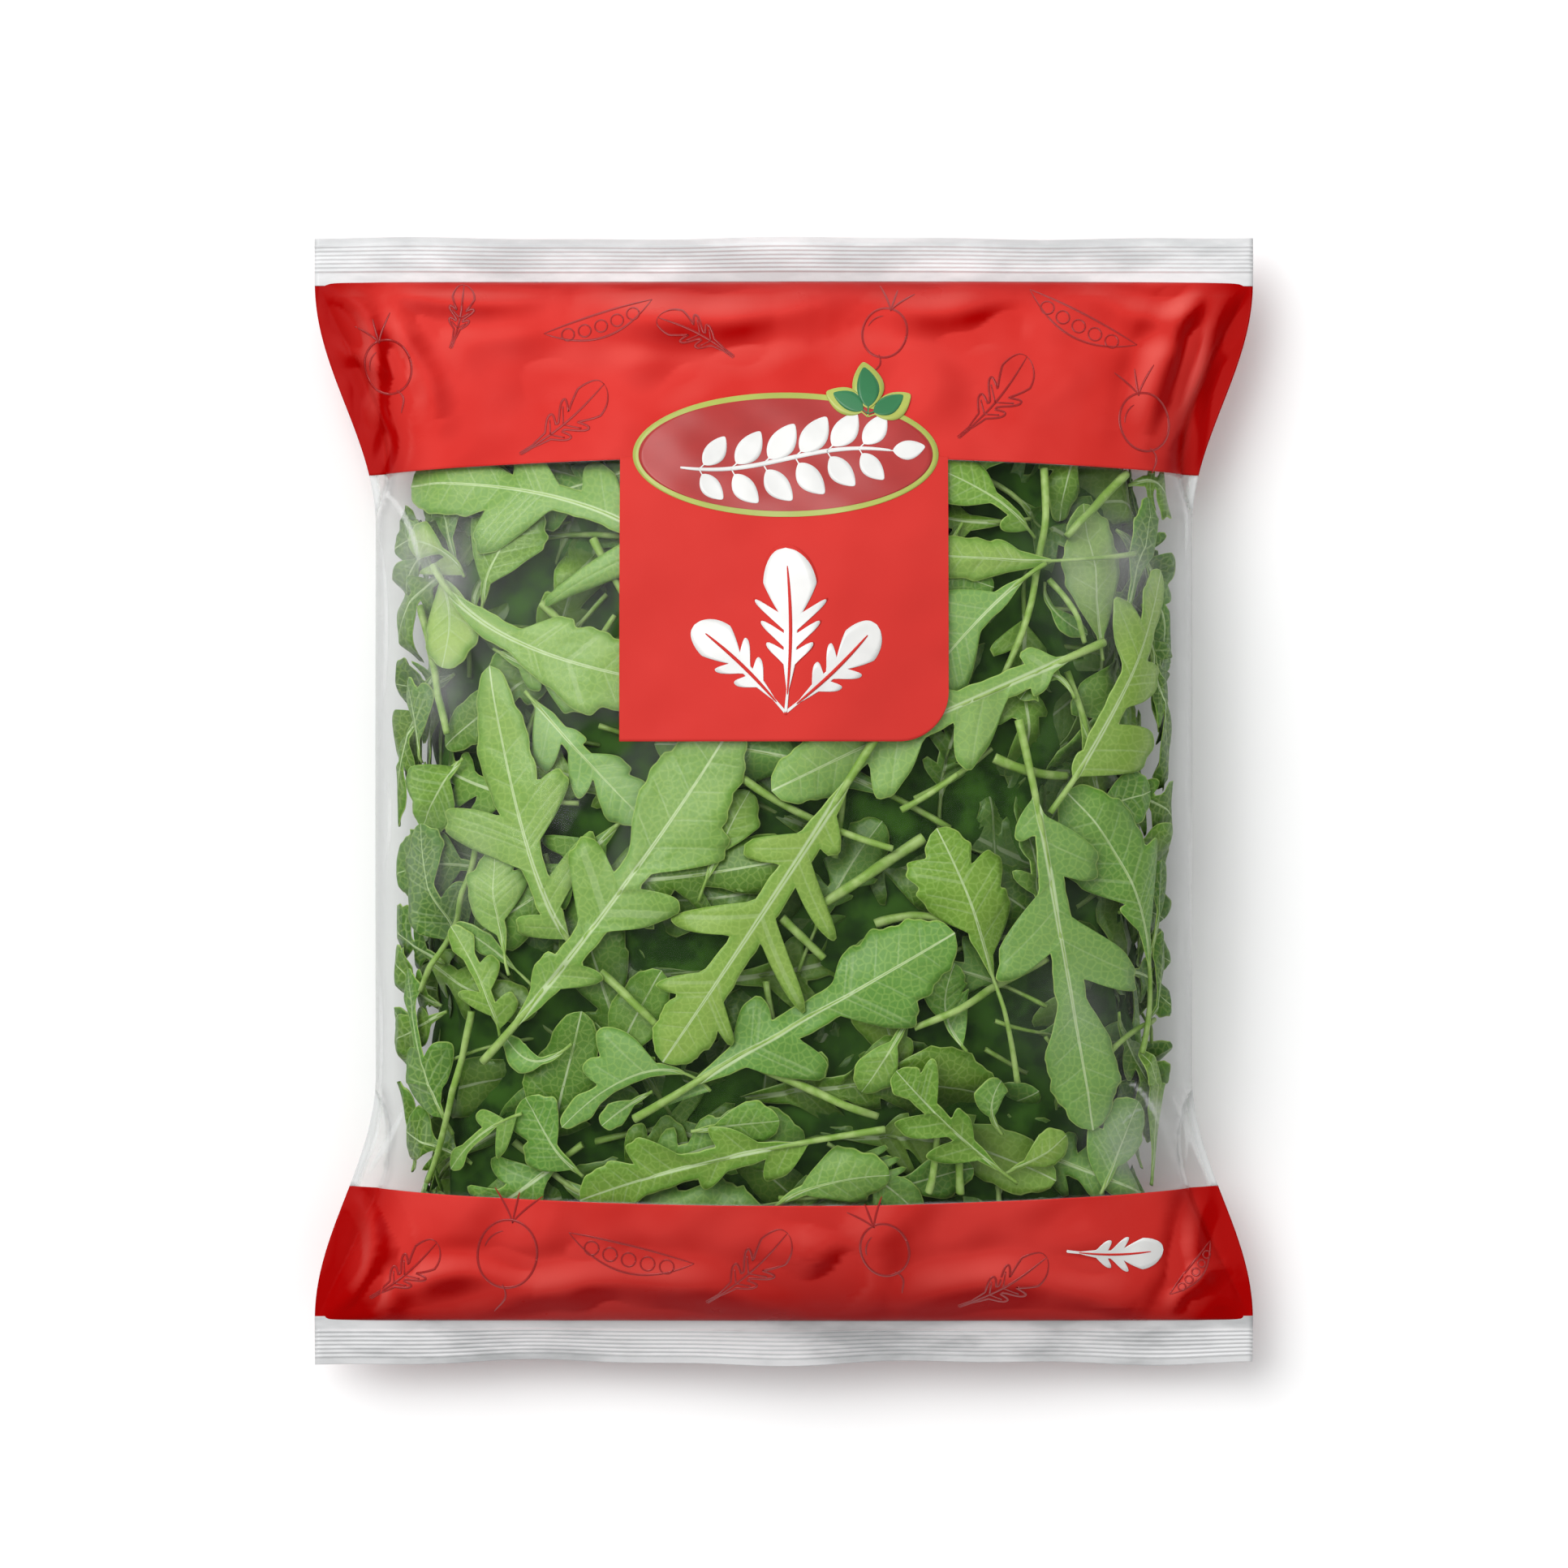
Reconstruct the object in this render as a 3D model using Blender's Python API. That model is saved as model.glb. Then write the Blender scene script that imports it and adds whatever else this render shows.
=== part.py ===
"""Pillow bag of rocket salad, 250 mm wide and 300 mm long, lying on its back with the printed front up.

Metres, +Z up. X runs across the bag, +Y points to its head seal, and Z is 0 where the bag rests.
The origin is at the middle of the bag's underside. The bag is one solid: two film panels that meet
along their sides, a crimped seal at each end, the long seam down the back, and the leaves that press
up against the clear front.
"""

import math

import bmesh
import bpy
import numpy as np

# Driving dimensions of the bag
BAG_WIDTH = 0.250
BAG_LENGTH = 0.300
SEAL_LENGTH = 0.0116
CROWN_HEIGHT = 0.070
SEAL_HEIGHT = 0.020
SIDE_RISE = 0.006
SEAL_WAVE = 0.0009
SEAL_DROOP = 0.0016
WAIST_WIDTH = 0.217
NECK_LENGTH = 0.066
EAR_WIDTH = 0.008
EAR_LENGTH = 0.062
EAR_THICKNESS = 0.0016
EAR_ROUND = 0.8

# How the front rises from the seals, and how the back flattens where it rests. The last two are
# the exponents of the cross-section, at the middle and what the seals add to them.
FRONT_POWER = 2.4
FRONT_ROUND = 0.62
BACK_FLAT = 0.62
BACK_ROUND = 1.8
BACK_PRESS = 0.004
FRONT_SECTION = (0.44, 0.50)
BACK_SECTION = (0.30, 0.60)
BROAD_SWELL = 0.0011
SLANTED_SWELL = 0.0008

# Print
HEAD_BAND_MIDDLE = 0.0899
HEAD_BAND_SIDE = 0.0854
FOOT_BAND_MIDDLE = -0.1061
FOOT_BAND_SIDE = -0.1011
LABEL_HALF_WIDTH = 0.0429
LABEL_BOTTOM = 0.0156
LABEL_RADIUS = 0.013
LABEL_RISE = 0.0007
LABEL_SPACE_FLOOR = 0.0002
LABEL_SPACE_HEIGHT = 0.008
LABEL_OVERLAP = 0.002
LABEL_COLUMNS = 10
LABEL_ROWS = 8

# Seals and back seam
CRIMP_RIDGES = 7
CRIMP_DEPTH = 0.00045
CRIMP_START = 0.0030
SEAL_THICKNESS = 0.0011
SEAL_TUCK = 0.0030
SEAM_HALF_WIDTH = 0.0055
SEAM_RISE = 0.0008
SEAM_CLEARANCE = 0.0004
SEAM_LENGTH = 0.268
SEAM_ROWS = 24

# Leaves
LEAF_RISE = 0.0008
LEAF_RISE_STEP = 0.00005
LEAF_SINK = 0.0012
LEAF_CROWN = 0.0007
STALK_HALF_WIDTH = 0.0013
LOBE_LEAN = 68
LOBE_FLATNESS = 2.2
LOBE_ROUND = 0.6
ONLY_LOBE_SPREAD = 0.09
WING_REACH = 0.035
WING_START = 0.15
END_FLATNESS = 2.6
END_ROUND = 0.55
TIP_THINNING = 0.7
STALK_ROWS = 5
CLOSEST_ROWS = 0.015

# Mesh density
PANEL_COLUMNS = 28
BAND_ROWS = 8
WINDOW_ROWS = 18
SEAL_COLUMNS = 6
ROWS_PER_RIDGE = 2

BODY_HALF_LENGTH = BAG_LENGTH / 2 - SEAL_LENGTH

# name, linear colour, roughness, metallic
FINISHES = (
    ("red_print", (0.70, 0.050, 0.042, 1.0), 0.32, 0.0),
    ("film_over_leaves", (0.085, 0.17, 0.045, 1.0), 0.22, 0.0),
    ("white_seal", (0.78, 0.79, 0.79, 1.0), 0.35, 0.0),
    ("leaf_green", (0.20, 0.36, 0.085, 1.0), 0.50, 0.0),
)
RED_PRINT, FILM_OVER_LEAVES, WHITE_SEAL, LEAF_GREEN = range(len(FINISHES))

# A leaf kind is (share of length that is bare stalk, side lobes as (place, reach left, reach right),
# start of the end lobe, its half width as a share of length)
BROAD_LEAF = (0.16, ((0.30, 0.17, 0.14), (0.48, 0.19, 0.22)), 0.56, 0.18)
LOBED_LEAF = (0.18, ((0.27, 0.14, 0.17), (0.43, 0.21, 0.18), (0.59, 0.19, 0.22)), 0.66, 0.15)
SLIM_LEAF = (0.30, ((0.42, 0.10, 0.12), (0.58, 0.14, 0.12)), 0.66, 0.10)
OVAL_LEAF = (0.25, ((0.36, 0.10, 0.09),), 0.42, 0.16)

# The leaves that lie against the front film, lowest first: kind, stalk end and tip in
# millimetres, sideways bow as a share of length
FRONT_LEAVES = (
    (SLIM_LEAF, (-94, 61), (-48, 36), -0.12),
    (OVAL_LEAF, (-74, 34), (-93, 72), 0.05),
    (OVAL_LEAF, (83, 38), (80, 84), 0.04),
    (SLIM_LEAF, (87, -33), (37, -60), 0.06),
    (SLIM_LEAF, (27, -88), (-18, -71), 0.05),
    (LOBED_LEAF, (8, -64), (22, -92), 0.05),
    (OVAL_LEAF, (92, -60), (96, -98), -0.04),
    (OVAL_LEAF, (-84, -14), (-98, 12), 0.05),
    (SLIM_LEAF, (-101, -98), (-97, -46), 0.05),
    (SLIM_LEAF, (6, 4), (44, -28), -0.06),
    (LOBED_LEAF, (-72, -66), (-95, -28), -0.04),
    (OVAL_LEAF, (-52, -38), (-24, -14), 0.05),
    (LOBED_LEAF, (66, -5), (92, 52), -0.05),
    (LOBED_LEAF, (-60, -41), (-81, 38), 0.06),
    (BROAD_LEAF, (-41, -2), (-72, 28), 0.04),
    (LOBED_LEAF, (60, -79), (42, -6), 0.03),
    (BROAD_LEAF, (-38, 64), (-90, 76), 0.05),
    (LOBED_LEAF, (63, -103), (30, -71), -0.04),
    (BROAD_LEAF, (86, 42), (2, 6), 0.05),
    (LOBED_LEAF, (27, -82), (-52, -88), -0.04),
    (BROAD_LEAF, (68, 61), (37, 30), 0.04),
    (LOBED_LEAF, (-88, -96), (-40, -72), 0.08),
    (LOBED_LEAF, (62, 19), (82, -86), 0.02),
    (BROAD_LEAF, (-40, -87), (47, -36), -0.05),
    (LOBED_LEAF, (24, 12), (-31, -70), 0.05),
    (BROAD_LEAF, (-82, -70), (-15, 14), -0.04),
)

# Bare stalks on the front: ends in millimetres
FRONT_STALKS = (
    ((-101, 52), (-91, 18)),
    ((70, 86), (60, 34)),
    ((48, 64), (95, 66)),
    ((-85, -13), (-98, -51)),
    ((38, -9), (8, -30)),
)


def clear_scene():
    for obj in list(bpy.data.objects):
        bpy.data.objects.remove(obj)


def make_finishes():
    """One Principled material for each print zone, in the order of FINISHES."""
    made = []
    for name, colour, roughness, metallic in FINISHES:
        material = bpy.data.materials.new(name)
        material.use_nodes = True
        shader = material.node_tree.nodes["Principled BSDF"]
        shader.inputs["Base Color"].default_value = colour
        shader.inputs["Alpha"].default_value = colour[3]
        shader.inputs["Roughness"].default_value = roughness
        shader.inputs["Metallic"].default_value = metallic
        made.append(material)
    return made


def seal_height(x):
    """Height of the seals above the table: the film waves a little across the bag."""
    wave = SEAL_WAVE * math.sin(38 * x + 0.6)
    return SEAL_HEIGHT + wave - SEAL_DROOP * (2 * x / BAG_WIDTH) ** 2


def half_width(y):
    """Half the bag's width at y: full at the seals, drawn in to the waist by the filling."""
    from_seal = min((BODY_HALF_LENGTH - abs(y)) / NECK_LENGTH, 1.0)
    flare = 0.5 * (1 + math.cos(math.pi * from_seal))
    return (WAIST_WIDTH + (BAG_WIDTH - WAIST_WIDTH) * flare) / 2


def ear_width(y):
    """Width of the flat fold that stands out beside the filling near each corner."""
    along = min((BODY_HALF_LENGTH - abs(y)) / EAR_LENGTH, 1.0)
    return EAR_WIDTH * math.sin(math.pi * along) ** EAR_ROUND if along < 1.0 else 0.0


def fullness(y):
    """0 at the seals and 1 at the middle of the bag."""
    along = min(abs(y) / BODY_HALF_LENGTH, 1.0)
    return max(1 - along**FRONT_POWER, 0.0) ** FRONT_ROUND


def side_height(x, y):
    middle = 1 - (y / BODY_HALF_LENGTH) ** 2
    return seal_height(x) + SIDE_RISE * middle


def across_share(x, y):
    """x as a share of the filled half width, 1 at the filling's edge and beyond it on the ears."""
    return min(abs(x) / (half_width(y) - ear_width(y)), 1.0)


def ear_swell(x, y):
    """Half the thickness of the two films where they lie together, down to 0 at the side."""
    edge = 1 - (x / half_width(y)) ** 2
    return EAR_THICKNESS / 2 * min(1.0, 12 * max(edge, 0.0)) * min(1.0, 4 * fullness(y))


def bulges(x, y):
    """Low swells where leaves press outwards, fading to nothing at the rim."""
    swell = BROAD_SWELL * math.sin(61 * x + 1.3) * math.sin(47 * y + 0.4)
    swell += SLANTED_SWELL * math.sin(97 * x - 35 * y + 2.0)
    return swell * fullness(y) * (1 - across_share(x, y) ** 4)


def front_height(x, y):
    side = side_height(x, y)
    full = fullness(y)
    roundness = FRONT_SECTION[0] + FRONT_SECTION[1] * (1 - full)
    lens = (1 - across_share(x, y) ** 2) ** roundness
    crown = seal_height(x) + (CROWN_HEIGHT - seal_height(x)) * full
    return side + (crown - side) * lens + ear_swell(x, y) + bulges(x, y)


def back_height(x, y):
    """Pressed flat on the table along the middle, and rising to the seals at both ends."""
    side = side_height(x, y)
    lift = max((abs(y) / BODY_HALF_LENGTH - BACK_FLAT) / (1 - BACK_FLAT), 0.0) ** BACK_ROUND
    lowest = seal_height(x) * lift - BACK_PRESS * (1 - lift)
    roundness = BACK_SECTION[0] + BACK_SECTION[1] * lift
    lens = (1 - across_share(x, y) ** 2) ** roundness
    return max(side - (side - lowest) * lens - ear_swell(x, y), 0.0)


def band_edge(x, y_middle, y_side):
    """The print's edge bows because the film rises over the filling."""
    return y_middle + (y_side - y_middle) * (2 * x / BAG_WIDTH) ** 2


def row_places():
    """Rows of the panel along Y: the zone, and the share of the way across it from the foot."""
    foot = [("foot", k / BAND_ROWS) for k in range(BAND_ROWS)]
    window = [("window", k / WINDOW_ROWS) for k in range(WINDOW_ROWS)]
    head = [("head", k / BAND_ROWS) for k in range(BAND_ROWS + 1)]
    return foot + window + head


def row_y(zone, share, x):
    foot_edge = band_edge(x, FOOT_BAND_MIDDLE, FOOT_BAND_SIDE)
    head_edge = band_edge(x, HEAD_BAND_MIDDLE, HEAD_BAND_SIDE)
    if zone == "foot":
        eased = math.sin(math.pi / 2 * (1 - share))
        return foot_edge - (BODY_HALF_LENGTH + foot_edge) * eased
    if zone == "window":
        return foot_edge + (head_edge - foot_edge) * share
    eased = math.sin(math.pi / 2 * share)
    return head_edge + (BODY_HALF_LENGTH - head_edge) * eased


def film_panel(height, faces_up):
    """A grid bent to the bag's front or back. Its rim is the same for both, so that they weld."""
    rows = row_places()
    panel = bmesh.new()
    bmesh.ops.create_grid(panel, x_segments=PANEL_COLUMNS, y_segments=len(rows) - 1, size=1.0)
    for vertex in panel.verts:
        row, column = grid_place(vertex, len(rows), PANEL_COLUMNS + 1)
        zone, share = rows[row]
        across = math.sin(math.pi / 2 * vertex.co.x)
        y = row_y(zone, share, across * WAIST_WIDTH / 2)
        x = half_width(y) * across
        on_rim = row in (0, len(rows) - 1) or column in (0, PANEL_COLUMNS)
        vertex.co = (x, y, side_height(x, y) if on_rim else height(x, y))
    if not faces_up:
        bmesh.ops.reverse_faces(panel, faces=panel.faces)
    return panel


def print_zone(centre):
    """The finish of a face of the film by where its middle lies."""
    if centre.y > band_edge(centre.x, HEAD_BAND_MIDDLE, HEAD_BAND_SIDE):
        return RED_PRINT
    if centre.y < band_edge(centre.x, FOOT_BAND_MIDDLE, FOOT_BAND_SIDE):
        return RED_PRINT
    return FILM_OVER_LEAVES


def object_from(mesh_data, name, finishes, collection):
    mesh = bpy.data.meshes.new(name)
    mesh_data.to_mesh(mesh)
    mesh_data.free()
    for material in finishes:
        mesh.materials.append(material)
    obj = bpy.data.objects.new(name, mesh)
    collection.objects.link(obj)
    return obj


def make_film_body(finishes, collection):
    """Both panels, welded along their common rim into one closed pillow."""
    body = film_panel(front_height, True)
    back = film_panel(back_height, False)
    back_mesh = bpy.data.meshes.new("back_panel")
    back.to_mesh(back_mesh)
    back.free()
    body.from_mesh(back_mesh)
    bpy.data.meshes.remove(back_mesh)
    bmesh.ops.remove_doubles(body, verts=body.verts, dist=1e-6)
    bmesh.ops.triangulate(body, faces=body.faces)
    for face in body.faces:
        face.material_index = print_zone(face.calc_center_median())
    return object_from(body, "salad_bag", finishes, collection)


def grid_place(vertex, rows, columns):
    """Row and column of a vertex of a fresh grid, which spans -1 to 1 both ways."""
    row = round((vertex.co.y + 1) / 2 * (rows - 1))
    column = round((vertex.co.x + 1) / 2 * (columns - 1))
    return row, column


def thin_solid(top, bottom, finish):
    """A grid extruded once, its two layers then bent to the top and the bottom points."""
    rows, columns = top.shape[:2]
    solid = bmesh.new()
    bmesh.ops.create_grid(solid, x_segments=columns - 1, y_segments=rows - 1, size=1.0)
    lower = solid.verts[:]
    extruded = bmesh.ops.extrude_face_region(solid, geom=solid.faces[:])["geom"]
    upper = [item for item in extruded if isinstance(item, bmesh.types.BMVert)]
    for layer, points in ((lower, bottom), (upper, top)):
        for vertex in layer:
            vertex.co = points[grid_place(vertex, rows, columns)]
    bmesh.ops.triangulate(solid, faces=solid.faces)
    bmesh.ops.recalc_face_normals(solid, faces=solid.faces)
    for face in solid.faces:
        face.material_index = finish
    return solid


def make_seal(end, finishes, collection):
    """A crimped fin across the head (end = 1) or the foot (end = -1), with ridges along X."""
    ridge_rows = ROWS_PER_RIDGE * CRIMP_RIDGES + 1
    plain = np.array([-SEAL_TUCK, CRIMP_START])
    crimped = np.linspace(CRIMP_START, SEAL_LENGTH, ridge_rows)[1:]
    places = np.concatenate([plain, crimped])
    xs = np.linspace(-BAG_WIDTH / 2, BAG_WIDTH / 2, SEAL_COLUMNS + 1)
    top = np.empty((len(places), len(xs), 3))
    for i, place in enumerate(places):
        turns = CRIMP_RIDGES * (place - CRIMP_START) / (SEAL_LENGTH - CRIMP_START)
        ridge = CRIMP_DEPTH * (1 - math.cos(2 * math.pi * turns)) / 2 if turns > 0 else 0.0
        for j, x in enumerate(xs):
            middle = seal_height(x) + ridge
            top[i, j] = (x, end * (BODY_HALF_LENGTH + place), middle + SEAL_THICKNESS / 2)
    bottom = top - (0.0, 0.0, SEAL_THICKNESS)
    name = "head_seal" if end > 0 else "foot_seal"
    return object_from(thin_solid(top, bottom, WHITE_SEAL), name, finishes, collection)


def make_back_seam(finishes, collection):
    """The long seam of the film tube: a flat strip down the back, flush where the bag rests."""
    ys = np.linspace(-SEAM_LENGTH / 2, SEAM_LENGTH / 2, SEAM_ROWS + 1)
    xs = np.array([-SEAM_HALF_WIDTH, 0.0, SEAM_HALF_WIDTH])
    bottom = np.empty((len(ys), len(xs), 3))
    for i, y in enumerate(ys):
        for j, x in enumerate(xs):
            bottom[i, j] = (x, y, max(back_height(x, y) - SEAM_RISE, SEAM_CLEARANCE))
    top = bottom + (0.0, 0.0, 3 * SEAM_RISE)
    return object_from(thin_solid(top, bottom, FILM_OVER_LEAVES), "back_seam", finishes, collection)


def label_solid(floor, ceiling):
    """The label from floor to ceiling over the film. Its columns crowd to its rounded corner."""
    top = np.empty((LABEL_ROWS + 1, LABEL_COLUMNS + 1, 3))
    for j in range(LABEL_COLUMNS + 1):
        x = LABEL_HALF_WIDTH * (2 * math.sin(math.pi / 2 * j / LABEL_COLUMNS) - 1)
        into_corner = max(x - (LABEL_HALF_WIDTH - LABEL_RADIUS), 0.0) / LABEL_RADIUS
        low = LABEL_BOTTOM + LABEL_RADIUS * (1 - math.sqrt(max(1 - into_corner**2, 0.0)))
        high = band_edge(x, HEAD_BAND_MIDDLE, HEAD_BAND_SIDE) + LABEL_OVERLAP
        for i in range(LABEL_ROWS + 1):
            y = low + (high - low) * i / LABEL_ROWS
            top[i, j] = (x, y, front_height(x, y) + ceiling)
    return thin_solid(top, top - (0.0, 0.0, ceiling - floor), RED_PRINT)


def lobe(t, place, spread, reach):
    """A rounded side lobe: reach at its place, 0 at spread to either side."""
    away = abs(t - place) / spread
    return reach * (1 - away**LOBE_FLATNESS) ** LOBE_ROUND if away < 1 else 0.0


def leaf_rows(kind):
    """Places along a leaf that its outline needs: the stalk, each lobe's shoulders, the end lobe."""
    stalk_share, lobes, end_start, _ = kind
    spread = lobe_spread(lobes)
    places = [0.0, stalk_share]
    for place, _, _ in lobes:
        places += [place + spread * k for k in (-1.0, -0.65, 0.0, 0.65, 1.0)]
    places += [end_start + (1 - end_start) * k for k in (0.08, 0.3, 0.55, 0.78, 0.93, 1.0)]
    kept = []
    for place in sorted(places):
        if not kept or place - kept[-1] > CLOSEST_ROWS:
            kept.append(place)
    return kept


def lobe_spread(lobes):
    """Half the distance between side lobes, along the leaf."""
    gaps = [b[0] - a[0] for a, b in zip(lobes, lobes[1:])]
    return min(gaps) / 2 if gaps else ONLY_LOBE_SPREAD


def blade_reach(t, kind, side):
    """How far the blade reaches from the midrib at t, as a share of the leaf's length."""
    stalk_share, lobes, end_start, end_half = kind
    reach = WING_REACH * min(max((t - stalk_share) / WING_START, 0.0), 1.0)
    for place, left, right in lobes:
        reach = max(reach, lobe(t, place, lobe_spread(lobes), left if side < 0 else right))
    along = (t - end_start) / (1 - end_start)
    if 0 < along < 1:
        end = end_half * (1 - abs(2 * along - 1) ** END_FLATNESS) ** END_ROUND
        reach = max(reach, end)
    return reach if t < 1 else 0.0


def leaf_outline(kind, base, tip, bow):
    """Left edge, midrib and right edge of a leaf in plan, as three rows of points."""
    base, tip = (np.array(p) / 1000 for p in (base, tip))
    length = np.linalg.norm(tip - base)
    forward = (tip - base) / length
    sideways = np.array([forward[1], -forward[0]])
    points = []
    for t in leaf_rows(kind):
        middle = base + forward * length * t + sideways * bow * length * 4 * t * (1 - t)
        towards_tip = max((t - kind[2]) / (1 - kind[2]), 0.0)
        lean = math.radians(LOBE_LEAN + (90 - LOBE_LEAN) * towards_tip)
        row = []
        for side in (-1, 0, 1):
            rib = STALK_HALF_WIDTH * (1 - TIP_THINNING * t)
            reach = blade_reach(t, kind, side) * length + rib
            step = sideways * side * math.sin(lean) + forward * abs(side) * math.cos(lean)
            row.append(middle + step * reach)
        points.append(row)
    return np.array(points)


def lying_solid(plan, rise):
    """A thin solid over points in plan that follows the front film and stands rise above it."""
    top = np.empty((*plan.shape[:2], 3))
    for i, row in enumerate(plan):
        for j, (x, y) in enumerate(row):
            crown = LEAF_CROWN if j == 1 else 0.0
            top[i, j] = (x, y, front_height(x, y) + rise + crown)
    bottom = top.copy()
    bottom[:, :, 2] = top[:, :, 2] - rise - LEAF_SINK - LEAF_CROWN
    return thin_solid(top, bottom, LEAF_GREEN)


def make_leaves(finishes, collection):
    """Each leaf is one step higher than the last, so that no two tops lie in one plane."""
    for k, (kind, base, tip, bow) in enumerate(FRONT_LEAVES):
        plan = leaf_outline(kind, base, tip, bow)
        solid = lying_solid(plan, LEAF_RISE + k * LEAF_RISE_STEP)
        object_from(solid, f"leaf_{k:02d}", finishes, collection)


def make_stalks(finishes, collection):
    for k, ends in enumerate(FRONT_STALKS):
        start, stop = (np.array(p) / 1000 for p in ends)
        forward = (stop - start) / np.linalg.norm(stop - start)
        sideways = np.array([forward[1], -forward[0]]) * STALK_HALF_WIDTH
        plan = []
        for t in np.linspace(0, 1, STALK_ROWS + 1):
            middle = start + (stop - start) * t
            plan.append([middle - sideways, middle, middle + sideways])
        rise = LEAF_RISE + (len(FRONT_LEAVES) + k) * LEAF_RISE_STEP
        object_from(lying_solid(np.array(plan), rise), f"stalk_{k:02d}", finishes, collection)


def boolean(body, operation, other):
    """Joins or cuts the body with an object or a whole collection, and applies the result."""
    step = body.modifiers.new(operation.lower(), "BOOLEAN")
    step.operation = operation
    step.solver = "MANIFOLD"
    if isinstance(other, bpy.types.Collection):
        step.operand_type = "COLLECTION"
        step.collection = other
        used = list(other.objects)
    else:
        step.object = other
        used = [other]
    graph = bpy.context.evaluated_depsgraph_get()
    result = bpy.data.meshes.new_from_object(body.evaluated_get(graph))
    body.modifiers.clear()
    body.data = result
    for obj in used:
        bpy.data.objects.remove(obj)


def main():
    clear_scene()
    scene = bpy.context.scene.collection
    parts = bpy.data.collections.new("bag_of_salad_leaves")
    pieces = bpy.data.collections.new("pieces_to_fuse")
    scene.children.link(parts)
    scene.children.link(pieces)
    finishes = make_finishes()
    body = make_film_body(finishes, parts)
    for end in (1, -1):
        make_seal(end, finishes, pieces)
    make_back_seam(finishes, pieces)
    make_leaves(finishes, pieces)
    make_stalks(finishes, pieces)
    boolean(body, "UNION", pieces)
    space = label_solid(LABEL_SPACE_FLOOR, LABEL_SPACE_HEIGHT)
    boolean(body, "DIFFERENCE", object_from(space, "label_space", finishes, scene))
    label = label_solid(-LEAF_SINK, LABEL_RISE)
    boolean(body, "UNION", object_from(label, "label", finishes, scene))
    bpy.data.collections.remove(pieces)
    body.data.shade_smooth()
    body.data.set_sharp_from_angle(angle=math.radians(32))


main()
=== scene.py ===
# A pillow bag of rocket leaves, lying on its back under soft studio light.
# Metres. X across the bag, +Y to the head seal, +Z up. The film, the print, the seals and the
# leaves are all worked out from the bag's own surface, so each lies on or under the film.
import math
import bpy
import numpy as np
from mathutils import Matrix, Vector


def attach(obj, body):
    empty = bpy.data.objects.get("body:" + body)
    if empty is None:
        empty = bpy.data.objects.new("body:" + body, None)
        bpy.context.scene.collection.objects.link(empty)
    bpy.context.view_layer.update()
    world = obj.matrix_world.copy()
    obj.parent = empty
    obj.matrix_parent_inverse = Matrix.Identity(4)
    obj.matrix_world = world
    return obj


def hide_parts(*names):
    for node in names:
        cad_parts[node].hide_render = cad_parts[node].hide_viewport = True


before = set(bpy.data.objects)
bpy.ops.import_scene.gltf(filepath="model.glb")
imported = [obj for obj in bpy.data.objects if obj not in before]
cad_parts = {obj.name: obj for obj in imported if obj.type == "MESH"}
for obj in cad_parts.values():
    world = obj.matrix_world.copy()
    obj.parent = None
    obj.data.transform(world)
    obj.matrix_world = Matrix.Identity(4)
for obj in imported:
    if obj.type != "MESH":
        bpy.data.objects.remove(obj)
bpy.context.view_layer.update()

body = "root"
print("frame loaded:", list(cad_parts))

# The bag's surface, as in the solid
bag = dict(width=0.250, halfBody=0.1384, seal=0.0116, crown=0.070, sealHeight=0.020, sideRise=0.006,
           sealWave=0.0009, waveTurns=38, waveStart=0.6, sealDroop=0.0016, waist=0.217, neck=0.066,
           earWidth=0.008, earLength=0.062, earThick=0.0016, earRound=0.8, frontPower=2.4, frontRound=0.62,
           backFlat=0.62, backRound=1.8, backPress=0.004, frontSection=(0.44, 0.50), backSection=(0.30, 0.60),
           swells=((0.0011, 61, 47, 1.3, 0.4), (0.0008, 97, -35, 2.0)))
# where the print ends: the window's edges in the middle and at the sides, and the label's outline
printing = dict(headMiddle=0.0899, headSide=0.0854, footMiddle=-0.1061, footSide=-0.1011,
                backTuck=0.0030, labelHalf=0.0429, labelLow=0.0156, labelRound=0.013)


def sealHeight(x):  # a seal's height above the table: level, with one slow wave and drooping ends
    return (bag["sealHeight"] + bag["sealWave"] * np.sin(bag["waveTurns"] * x + bag["waveStart"])
            - bag["sealDroop"] * (2 * x / bag["width"]) ** 2)


def halfWidth(y):  # full width at the seals, easing by a half cosine to the waist
    fromSeal = np.minimum((bag["halfBody"] - np.abs(y)) / bag["neck"], 1)
    flare = 0.5 * (1 + np.cos(np.pi * fromSeal))
    return (bag["waist"] + (bag["width"] - bag["waist"]) * flare) / 2


def earWidth(y):  # the flat fold beside the filling: half a sine wave along each corner
    along = np.clip((bag["halfBody"] - np.abs(y)) / bag["earLength"], 0, 1)
    return bag["earWidth"] * np.abs(np.sin(np.pi * along)) ** bag["earRound"]


def fullness(y):  # 0 at the seals, 1 at the middle
    along = np.minimum(np.abs(y) / bag["halfBody"], 1)
    return np.maximum(1 - along ** bag["frontPower"], 0) ** bag["frontRound"]


def sideHeight(x, y):  # the side weld: a parabola over the seals' height
    return sealHeight(x) + bag["sideRise"] * (1 - (y / bag["halfBody"]) ** 2)


def acrossShare(x, y):  # x as a share of the filled half width
    return np.minimum(np.abs(x) / (halfWidth(y) - earWidth(y)), 1)


def earSwell(x, y):  # half the gap between the two films beside the filling
    edge = np.maximum(1 - (x / halfWidth(y)) ** 2, 0)
    return bag["earThick"] / 2 * np.minimum(1, 12 * edge) * np.minimum(1, 4 * fullness(y))


def bulges(x, y):  # two low waves of swelling, gone at the rim
    (highA, ax, ay, a0, a1), (highB, bx, by, b0) = bag["swells"]
    swell = highA * np.sin(ax * x + a0) * np.sin(ay * y + a1) + highB * np.sin(bx * x + by * y + b0)
    return swell * fullness(y) * (1 - acrossShare(x, y) ** 4)


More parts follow.
